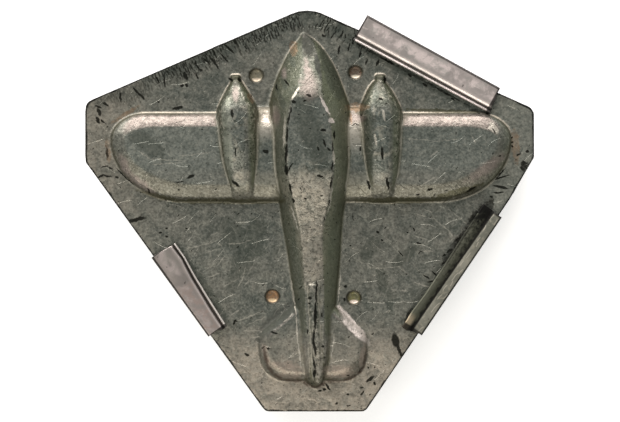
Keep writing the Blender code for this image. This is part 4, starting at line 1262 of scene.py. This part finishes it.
# Olive darkening at the foot of the wings' rear
OLIVE_MARKS = (
    (-64.6, 7.6, -50.0, 3.6, 1.6), (-52.0, 3.8, -12.0, 3.6, 2.0), (17.6, 3.9, 49.0, 4.0, 2.2),
    (46.0, 4.0, 64.0, 9.4, 2.6), (36.6, 38.6, 66.0, 37.4, 1.4),
)


def tin_ground(nodes, place, lie):
    """The sheet's grey: clouds, grit, warmer ends, and painted light and shade by how each slope leans."""
    cloud, blotch, grain = mottled(nodes, place, 0.021, 0.0046)
    grit = nodes.noise(place, 1100.0, 2.0, 0.6).fade(0.3, 0.7)
    # The bare sheet, warmer at its ends; painted reflection: warm on the fuselage, cool on the wings' level
    # part
    tone = cloud * 0.5 + blotch * 0.5
    tin = nodes.paint((88, 94, 88), (117, 116, 107), tone)
    flange = lie.rise.fade(0.6, 0.2)
    warm = most(
        lie.y.fade(-39.0, -58.0) * (0.55 + flange * 0.45),
        lie.x.fade(-54.0, -80.0) * flange * 0.45,
        lie.x.fade(66.0, 76.0) * flange * 0.2,
        # A painted warm reflection on the raised rear of the fuselage
        lie.y.fade(17.0, 10.0) * lie.y.fade(-34.0, -22.0) * lie.rise.fade(5.6, 7.0) * 0.66,
    )
    tin = tin.paint((172, 162, 147), warm * (0.5 + blotch * 0.5))
    cool = lie.rise.fade(3.0, 4.6) * abs(lie.lean_x).fade(0.3, 0.12)
    cool = cool * lie.y.fade(13.0, 18.0) * abs(lie.lean_y).fade(0.2, 0.08)
    tin = tin.paint((96, 105, 100), cool * 0.55)
    # Painted highlight on the slopes that lean forward, towards the light, below the highest forms
    bright = lie.lean_y.fade(0.1, 0.3) * lie.rise.fade(0.5, 1.4)
    bright = bright * abs(lie.lean_x).fade(0.34, 0.16) * lie.rise.fade(6.6, 5.6)
    tin = tin.paint((135, 124, 117), bright * (0.8 + grain * 0.2))
    # The wings' roots: a painted highlight on their front slope, a light part behind it and a warm rear end
    across = abs(lie.x)
    root = across.fade(25.0, 23.5) * across.fade(9.0, 11.0)
    root = root * lie.rise.fade(0.2, 0.8) * lie.rise.fade(6.6, 5.8)
    on_left = lie.x.fade(0.0, -1.0)
    on_right = lie.x.fade(0.0, 1.0)
    slope = on_left * lie.y.fade(40.2, 39.4) * lie.y.fade(32.0, 34.5)
    tin = tin.paint((188, 178, 167), root * slope * 0.9)
    behind_left = on_left * lie.y.fade(25.5, 32.0) * lie.y.fade(34.5, 32.0)
    behind_right = on_right * lie.y.fade(20.0, 31.0) * lie.y.fade(34.5, 31.0)
    tin = tin.paint((184, 178, 166), root * most(behind_left, behind_right))
    low_end = lie.y.fade(16.5, 11.0) * lie.y.fade(2.0, 4.0)
    tin = tin.paint((152, 149, 134), root * low_end * 0.6)
    # Painted shade on what leans forward on the noses, and a painted reflection on what leans back at the
    # rear
    nose = lie.lean_y.fade(0.08, 0.22) * lie.rise.fade(1.0, 2.4) * lie.y.fade(38.0, 42.0)
    tin = tin.paint((74, 77, 65), nose * 0.85)
    rear = lie.lean_y.fade(-0.06, -0.25) * lie.rise.fade(0.4, 1.2) * lie.rise.fade(6.2, 5.4)
    tin = tin.paint((103, 99, 86), rear * 0.75)
    # Lighter where the outer wings lie level, most on the left
    wings = lie.rise.fade(4.2, 4.9) * lie.rise.fade(5.8, 5.4) * abs(lie.x).fade(32.0, 36.0)
    wings = wings * (0.38 + lie.x.fade(10.0, -10.0) * 0.4)
    tin = tin.paint((138, 141, 133), wings * abs(lie.lean_y).fade(0.15, 0.08))
    right = flange * lie.x.fade(64.0, 74.0) * 0.35
    tin = tin.paint((136, 142, 134), right)
    # Grit, which is coarser on the highest forms
    forms = lie.rise.fade(5.8, 6.8) * most(lie.y.fade(24.0, 14.0), abs(lie.x).fade(13.0, 16.0))
    tin = tin.paint((56, 60, 50), forms * grain.fade(0.45, 0.15) * 0.5)
    tin = tin.paint((158, 153, 138), forms * blotch.fade(0.62, 0.9) * 0.4)
    tin = tin.paint((156, 155, 143), grain.fade(0.5, 1.0) * 0.3)
    tin = tin.paint((58, 62, 55), grain.fade(0.5, 0.0) * 0.34)
    tin = tin.paint((158, 157, 147), grit.fade(0.55, 1.0) * 0.26)
    tin = tin.paint((52, 55, 48), grit.fade(0.45, 0.0) * 0.32)
    return tin, cloud, blotch, grain


def tin_folds(nodes, tin, place, lie, cloud, blotch, grain):
    """Painted olive shade on the walls, grime and painted shade in the folds, and the thin pale line along
    each foot.
    """
    steep_left, steep_right = lie.lean_x.fade(-0.25, -0.6), lie.lean_x.fade(0.25, 0.6)
    tips = lie.x.fade(-61.0, -67.0) * 0.8 + lie.x.fade(62.0, 70.0) * 0.5
    walls = (1.0 - tips) * lie.y.fade(-50.0, -44.0)
    walls = walls * (0.75 + grain * 0.25)
    # Painted olive shade on the steep walls: darker on those that face left, lighter on the right
    tin = tin.paint((86, 91, 71), walls * steep_left * 0.55)
    tin = tin.paint((110, 116, 92), walls * steep_right * 0.7)
    # Grime in the folds, painted darker as well for the shade that falls there
    fold_grime_and_shade = (nodes.kept("near_fold_in") + blotch * 0.08).fade(0.14, 0.32)
    raised = lie.rise.fade(0.15, 0.7)
    tin = tin.paint((66, 66, 46), fold_grime_and_shade * raised * (0.3 + cloud * 0.45))
    foot = nodes.kept("fold_in").fade(0.2, 0.52)
    # The pale line along each foot is worn; it is painted stronger where it faces forward or back, as a
    # painted highlight
    front = lie.lean_y.fade(0.05, 0.25) + lie.lean_y.fade(0.0, -0.25) * 0.4
    gaps = nodes.noise(nodes.shift(place, 0.05), 130.0, 2.0, 0.5).fade(0.35, 0.6)
    strength = nodes.maths("ADD", 0.14, front * (0.45 + gaps * 0.55), clamp=True)
    nose = lie.y.fade(44.0, 48.0) * lie.x.fade(0.0, -2.0) * lie.x.fade(-18.0, -15.0) * 0.7
    roots = abs(lie.x).fade(24.6, 23.4) * abs(lie.x).fade(11.0, 12.0)
    roots = roots * lie.y.fade(38.0, 38.8) * lie.y.fade(42.0, 41.0)
    ends = most(lie.x.fade(-63.0, -67.0), lie.y.fade(-30.0, -36.0), nose, roots)
    strength = strength * (1.0 - ends * 0.97)
    line = foot * lie.rise.fade(0.75, 0.25) * (0.45 + blotch * 0.55) * strength
    tin = tin.paint((188, 179, 163), line * 0.95)
    high_foot = foot * lie.rise.fade(3.2, 4.2) * (0.4 + blotch * 0.5)
    tin = tin.paint((178, 174, 160), high_foot * 0.7)
    crown = (nodes.kept("near_fold_out") + grain * 0.08).fade(0.16, 0.32)
    tin = tin.paint((46, 47, 38), crown * grain.fade(0.4, 0.1) * 0.7)
    worn = crown * grain.fade(0.55, 0.85) * lie.rise.fade(4.6, 6.0)
    tin = tin.paint((176, 172, 158), worn * 0.6)
    return tin, fold_grime_and_shade


def tin_edge(nodes, place, lie):
    """The black knocks that run square to the upper edges, the shade there, and the line round the rim."""
    left = scratches(nodes, place, 0.0016, 0.9, 0.0046, 0.0005, 1.99, 0.5)
    other = nodes.shift(place, 0.013, 0.007)
    more = scratches(nodes, other, 0.0014, 0.9, 0.0034, 0.00036, 1.8, 0.8)
    left = most(left, more * 0.8)
    right = scratches(nodes, place, 0.0016, 0.85, 0.004, 0.00046, 1.25, 0.8)
    side = lie.x.fade(-3.0, 3.0)
    hatch = left * (1.0 - side) + right * side
    clumps = nodes.noise(place, 210.0, 2.0, 0.6).fade(0.34, 0.5)
    upper = most(lie.y.fade(43.0, 53.0), lie.y.fade(36.0, 44.0) * 0.6)
    side_on = upper * lie.x.fade(30.0, 24.0)
    band = lie.from_rim.fade(9.0, 5.0) * side_on * clumps
    dim = lie.from_rim.fade(8.0, 2.0) * side_on
    rim = (lie.from_rim + clumps * 0.25).fade(1.0, 0.6)
    return hatch * band, dim, rim


def tinned_finish(name, front_side):
    """Old tinned sheet: grey-green, pale where worn, warmer at its ends, with painted light and shade, and
    grime and rust in its folds.
    """
    made, nodes, shader = material(name)
    place = nodes.add("TexCoord")["Object"]
    parts = nodes.add("SeparateXYZ", {"Vector": place})
    lie = {label: nodes.kept(label) for label in ("rise", "lean_x", "lean_y", "from_rim")}
    lie = SimpleNamespace(**lie)
    lie.x, lie.y = (parts[axis] / MM for axis in "XY")
    level = nodes.vector("MULTIPLY", place, (1 / MM, 1 / MM, 0))
    level = nodes.shift(level, z=1.0)
    tin, cloud, blotch, grain = tin_ground(nodes, place, lie)
    tin, fold_grime_and_shade = tin_folds(nodes, tin, place, lie, cloud, blotch, grain)
    other = nodes.shift(place, 0.031, 0.017)
    pits = specks(nodes, place, 0.0046, 0.3, 0.0005)
    more_pits = specks(nodes, other, 0.0021, 0.14, 0.0003)
    form_pits = specks(nodes, other, 0.0012, 0.42, 0.0003)
    form_area = most(lie.y.fade(24.0, 14.0), abs(lie.x).fade(13.0, 16.0))
    form_pits = form_pits * lie.rise.fade(5.8, 6.6) * form_area * cloud.fade(0.2, 0.6)
    dark = most(pits * 0.75, more_pits * 0.7, form_pits * 0.7)
    fine = scratches(nodes, place, 0.0075, 0.8, 0.0075, 0.00013, 0.3, 2.6)
    finer = scratches(nodes, other, 0.0042, 0.75, 0.0042, 0.00011, -0.5, 3.1)
    low = 0.3 + lie.y.fade(6.0, -8.0) * lie.rise.fade(1.2, 0.4) * 0.7
    pale = most(fine * 0.24, finer * 0.26) * low
    sparks = specks(nodes, place, 0.0027, 0.2, 0.0003)
    pale = most(pale, sparks * 0.45)
    hatch, dim, rim = tin_edge(nodes, place, lie)
    # Painted shade near the upper edges
    tin = tin.paint((56, 64, 58), dim * (0.3 + cloud * 0.35))
    if front_side:
        shake = nodes.add("TexNoise", {"Vector": level, "Scale": 0.7, "Detail": 2.0})
        shake = nodes.vector("SUBTRACT", shake["Color"], (0.5, 0.5, 0.5))
        shake = nodes.vector("MULTIPLY", shake, (1.1, 1.1, 0))
        flat = nodes.vector("ADD", level, shake)
        ragged = (nodes.noise(level, 0.52, 3.0, 0.65) - 0.5) * 1.5
        tin = tin.paint((66, 64, 40), marks(nodes, flat, OLIVE_MARKS, ragged) * 0.7)
        # Painted shade and cast shadows
        tin = tin.paint((62, 68, 60), marks(nodes, flat, SHADE_MARKS, ragged) * 0.5)
        # Painted soft highlights
        painted_sheen = marks(nodes, flat, PAINTED_SHEEN_MARKS, ragged, 1.35, 0.35)
        tin = tin.paint((131, 121, 114), painted_sheen * (0.6 + grain * 0.35))
        # Painted light on the left nacelle's side
        side = marks(nodes, flat, LIT_SIDE_MARKS, ragged)
        tin = tin.paint((140, 144, 131), side * (0.15 + blotch * 0.6))
        # Painted highlights
        bevel = marks(nodes, flat, HIGHLIGHT_MARKS, ragged * 0.4) * (0.45 + grain * 0.55)
        tin = tin.paint((236, 224, 216), bevel)
        tail = marks(nodes, flat, TAIL_MARKS, ragged, 1.35, 0.4)
        tin = tin.paint((160, 144, 131), tail * (0.35 + blotch * 0.4))
        # Painted shade, also made rough
        dulled_and_shaded = marks(nodes, flat, DULL_SHADE_MARKS, ragged, 1.3, 0.7)
        tin = tin.paint((60, 63, 58), dulled_and_shaded * (0.5 + grain * 0.3))
        fold_grime_and_shade = most(fold_grime_and_shade, dulled_and_shaded * 2.6)
        stain = marks(nodes, flat, STAIN_MARKS, ragged * 0.4, 1.3, 0.3)
        tin = tin.paint((72, 59, 49), stain * (0.6 + blotch * 0.4))
        rust = marks(nodes, flat, RUST_MARKS, ragged)
        tin = tin.paint((132, 106, 80), rust * (0.15 + grain * 0.55))
        tin = tin_pips(nodes, tin, level, grain)
        # Soot, and the painted shadow beside the upper clip
        soot = marks(nodes, flat, SOOT_AND_SHADOW_MARKS, ragged)
        dark = most(dark, soot * (0.4 + blotch * 0.6))
        dark = most(dark, marks(nodes, flat, BLACK_MARKS + FORM_MARKS) * 0.92)
        pale = most(pale, marks(nodes, flat, PALE_MARKS) * (0.1 + grain * 0.45))
        pale = most(pale, marks(nodes, flat, WORN_MARKS) * (0.45 + grain * 0.5))
    tin = tin.paint((186, 181, 168), pale)
    dark = most(dark, hatch * 0.88)
    tin = tin.paint((17, 19, 15), most(dark, rim * 0.95))
    dull = most(dark * 0.3, fold_grime_and_shade * 0.14)
    rough = nodes.maths("ADD", 0.33 + blotch * 0.14, dull, clamp=True)
    relief = blotch * 0.5 + grain * 0.45
    relief = relief - most(pits, fine) * 0.6
    dents = nodes.add("Group", {"Vector": place, "Size": 0.007}, node_tree=DENTS)["Height"]
    knocks = nodes.add("Bump", {"Height": dents, "Strength": 0.5, "Distance": 0.0008})
    bump = nodes.add(
        "Bump", {"Height": relief, "Strength": 0.6, "Distance": 0.00022, "Normal": knocks["Normal"]}
    )
    looks = {"Base Color": tin, "Metallic": 0.65 + dark * 0.35, "Roughness": rough}
    nodes.fill(shader, looks | {"Normal": bump["Normal"]})
    return made


# What lies in each pip: the colour of its stained bottom and the painted highlight on its lower rim, where
# the light falls
PIP_COLOURS = (
    ((132, 126, 106), (196, 182, 162)), ((98, 76, 60), (206, 198, 180)),
    ((150, 114, 80), (206, 186, 152)), ((116, 112, 72), (226, 210, 198)),
)


def tin_pips(nodes, tin, level, grain):
    """Each pip has a stained bottom, a painted highlight on its lower rim and a dark ring round it."""
    for (x, y), (bottom, rim) in zip(PIPS, PIP_COLOURS):
        out = nearness(nodes, level, ((x, y, x, y, 2 * PIP_RADIUS),))
        low = nearness(nodes, level, ((x - 1.0, y - 1.5, x + 1.0, y - 1.5, 1.5),))
        ring = out.fade(0.82, 1.0) * out.fade(1.28, 1.08)
        tin = tin.paint(bottom, out.fade(1.0, 0.8) * (0.4 + grain * 0.6))
        # Painted highlight on the lower rim
        tin = tin.paint(rim, low.fade(1.2, 0.6) * 0.85)
        tin = tin.paint((40, 36, 24), ring * 0.75)
    return tin


def clip_finish(name, worn):
    """The springy sheet of a clip: smooth and pinkish with painted highlights, clouded, with painted shade
    along its pinch.
    """
    made, nodes, shader = material(name)
    place = nodes.add("TexCoord")["Object"]
    cloud, blotch, grain = mottled(nodes, place, 0.012, 0.0042)
    station, along = nodes.kept("station"), nodes.kept("along")
    if worn:
        metal = nodes.paint((104, 105, 95), (140, 138, 126), cloud)
        dashes = scratches(nodes, place, 0.003, 0.7, 0.003, 0.00025, 0.97, 0.5)
        metal = metal.paint((186, 180, 166), dashes * 0.6)
        metal = metal.paint((160, 154, 138), grain.fade(0.5, 1.0) * 0.5)
    else:
        parts = nodes.add("SeparateXYZ", {"Vector": place})
        metal = nodes.paint((166, 160, 156), (200, 189, 185), cloud)
        middle = abs(station - 0.45).fade(0.4, 0.1)
        # Painted highlights in the middle of the leg
        painted_sheen = middle * nodes.noise(place, 230.0, 3.0, 0.6, 0.3).fade(0.4, 0.6)
        metal = metal.paint((250, 234, 230), painted_sheen * 0.9)
        metal = metal.paint((150, 152, 146), blotch.fade(0.5, 0.9) * 0.45)
        # Painted highlight along the knee
        knee = station.fade(0.84, 0.96) * station.fade(1.25, 1.05)
        metal = metal.paint((232, 220, 214), knee * 0.6)
        shaded = parts["Y"].fade(0.01, -0.01) * station.fade(1.1, 0.9)
        metal = metal.paint((134, 127, 120), shaded * 0.6)
        metal = metal.paint((170, 148, 140), shaded * blotch.fade(0.4, 0.8) * along.fade(0.2, 0.6) * 0.5)
    pits = specks(nodes, place, 0.0034, 0.3 if worn else 0.12, 0.0004)
    metal = metal.paint((50, 48, 40), pits * 0.6)
    if worn:
        lip = station.fade(1.15, 1.9)
        metal = metal.paint((122, 124, 108), lip * (0.5 + grain * 0.45))
        # Painted shade between the knee and the lip
        metal = metal.paint((46, 48, 36), station.fade(2.9, 2.1) * station.fade(1.2, 1.6) * 0.6)
        edge = station.fade(2.7, 2.9) * (0.25 + along.fade(0.35, 0.6) * 0.5)
        metal = metal.paint((46, 48, 40), edge)
        ragged = nodes.noise(place, 500.0, 3.0, 0.6) - 0.5
        patches = station.fade(1.6, 2.0) * (grain * 0.6 + along * 0.6).fade(0.5, 1.0)
        metal = metal.paint((36, 37, 31), patches * 0.7)
        # Painted shade, black, from the knee down into the pinch
        painted_pinch_shade = station.fade(1.15, 1.5) * (station + ragged).fade(2.3, 1.85)
        metal = metal.paint((18, 18, 14), painted_pinch_shade * 0.95)
        soot = (along + ragged * 0.4).fade(0.86, 0.93) * station.fade(1.5, 1.9)
        metal = metal.paint((14, 14, 11), soot * 0.95)
        corner = along.fade(0.11, 0.05) * station.fade(2.1, 2.5)
        metal = metal.paint((182, 168, 144), corner * 0.85)
    else:
        # Painted shade along the pinch
        painted_pinch_shade = station.fade(1.2, 1.75) * station.fade(2.6, 2.3)
        metal = metal.paint((40, 35, 28), painted_pinch_shade * 0.94)
        # Painted highlight on the lower clip's lip edge
        metal = metal.paint((226, 220, 214), station.fade(2.45, 2.8) * parts["Y"].fade(0.01, -0.01))
    # A painted shadow line round the clip's ends and outer edge, wider on the worn clip
    rim = 1.5 if worn else 1.0
    ends = most(
        along.fade(0.013 * rim, 0.006),
        along.fade(1 - 0.013 * rim, 0.994),
        station.fade(0.1 * rim, 0.06 * rim),
    )
    metal = metal.paint((22, 21, 18), ends * 0.9)
    dull = station.fade(1.2, 1.6) * (0.3 if worn else 0.05)
    rough = (0.42 if worn else 0.3) + dull + blotch * 0.12
    relief = blotch * 0.5 + grain * 0.25
    bump = nodes.add("Bump", {"Height": relief, "Strength": 0.35, "Distance": 0.0001})
    looks = {"Base Color": metal, "Roughness": rough, "Normal": bump["Normal"]}
    nodes.fill(shader, looks | {"Metallic": 0.6 if worn else 0.7})
    return made


wear(front, tinned_finish("tinned_front", front_side=True))
wear(back, tinned_finish("tinned_back", front_side=False))
spring = clip_finish("clip_metal", worn=False)
wear(upper_right, spring)
wear(lower_left, spring)
wear(lower_right, clip_finish("clip_metal_worn", worn=True))


# Room, light and camera

rest()
bpy.ops.mesh.primitive_plane_add(size=6)
floor = named("floor")
paper, nodes, shader = material("paper")
rays = nodes.add("LightPath")
seen = most(rays["Is Camera Ray"], rays["Is Glossy Ray"], rays["Is Transmission Ray"])
looks = {"Base Color": (0.86, 0.86, 0.86, 1), "Roughness": 0.9, "Emission Color": (1, 1, 1, 1)}
nodes.fill(shader, looks | {"Emission Strength": seen * 0.45})
floor.data.materials.append(paper)


def softbox(name, place, size, power, colour):
    light = bpy.data.lights.new(name, "AREA")
    light.shape = "RECTANGLE"
    light.size, light.size_y = size
    light.energy = power
    light.color = colour
    lamp = bpy.data.objects.new(name, light)
    bpy.context.scene.collection.objects.link(lamp)
    lamp.location = place
    lamp.rotation_euler = (-Vector(place)).to_track_quat("-Z", "Y").to_euler()


softbox("key", (-0.25, 1.06, 0.56), (1.8, 0.75), 34, (1.0, 0.95, 0.93))
softbox("fill", (-0.2, -0.77, 0.92), (1.3, 0.7), 9, (1.0, 0.95, 0.87))
world = bpy.data.worlds.new("room")
world.use_nodes = True
world.node_tree.nodes["Background"].inputs["Color"].default_value = (0.2, 0.21, 0.205, 1)
bpy.context.scene.world = world

# In metres. The frame's width is the one that the camera sees at the front sheet's flange
CAMERA_HEIGHT = 1.2
FRAME_WIDTH = 0.2358
lens = bpy.data.cameras.new("camera")
lens.sensor_width = 36
lens.lens = lens.sensor_width * (CAMERA_HEIGHT - (FRONT_FACE + SHEET) * MM) / FRAME_WIDTH
camera = bpy.data.objects.new("camera", lens)
bpy.context.scene.collection.objects.link(camera)
camera.location = (0.0001, 0, CAMERA_HEIGHT)
bpy.context.scene.camera = camera
bpy.context.scene.view_settings.view_transform = "Standard"
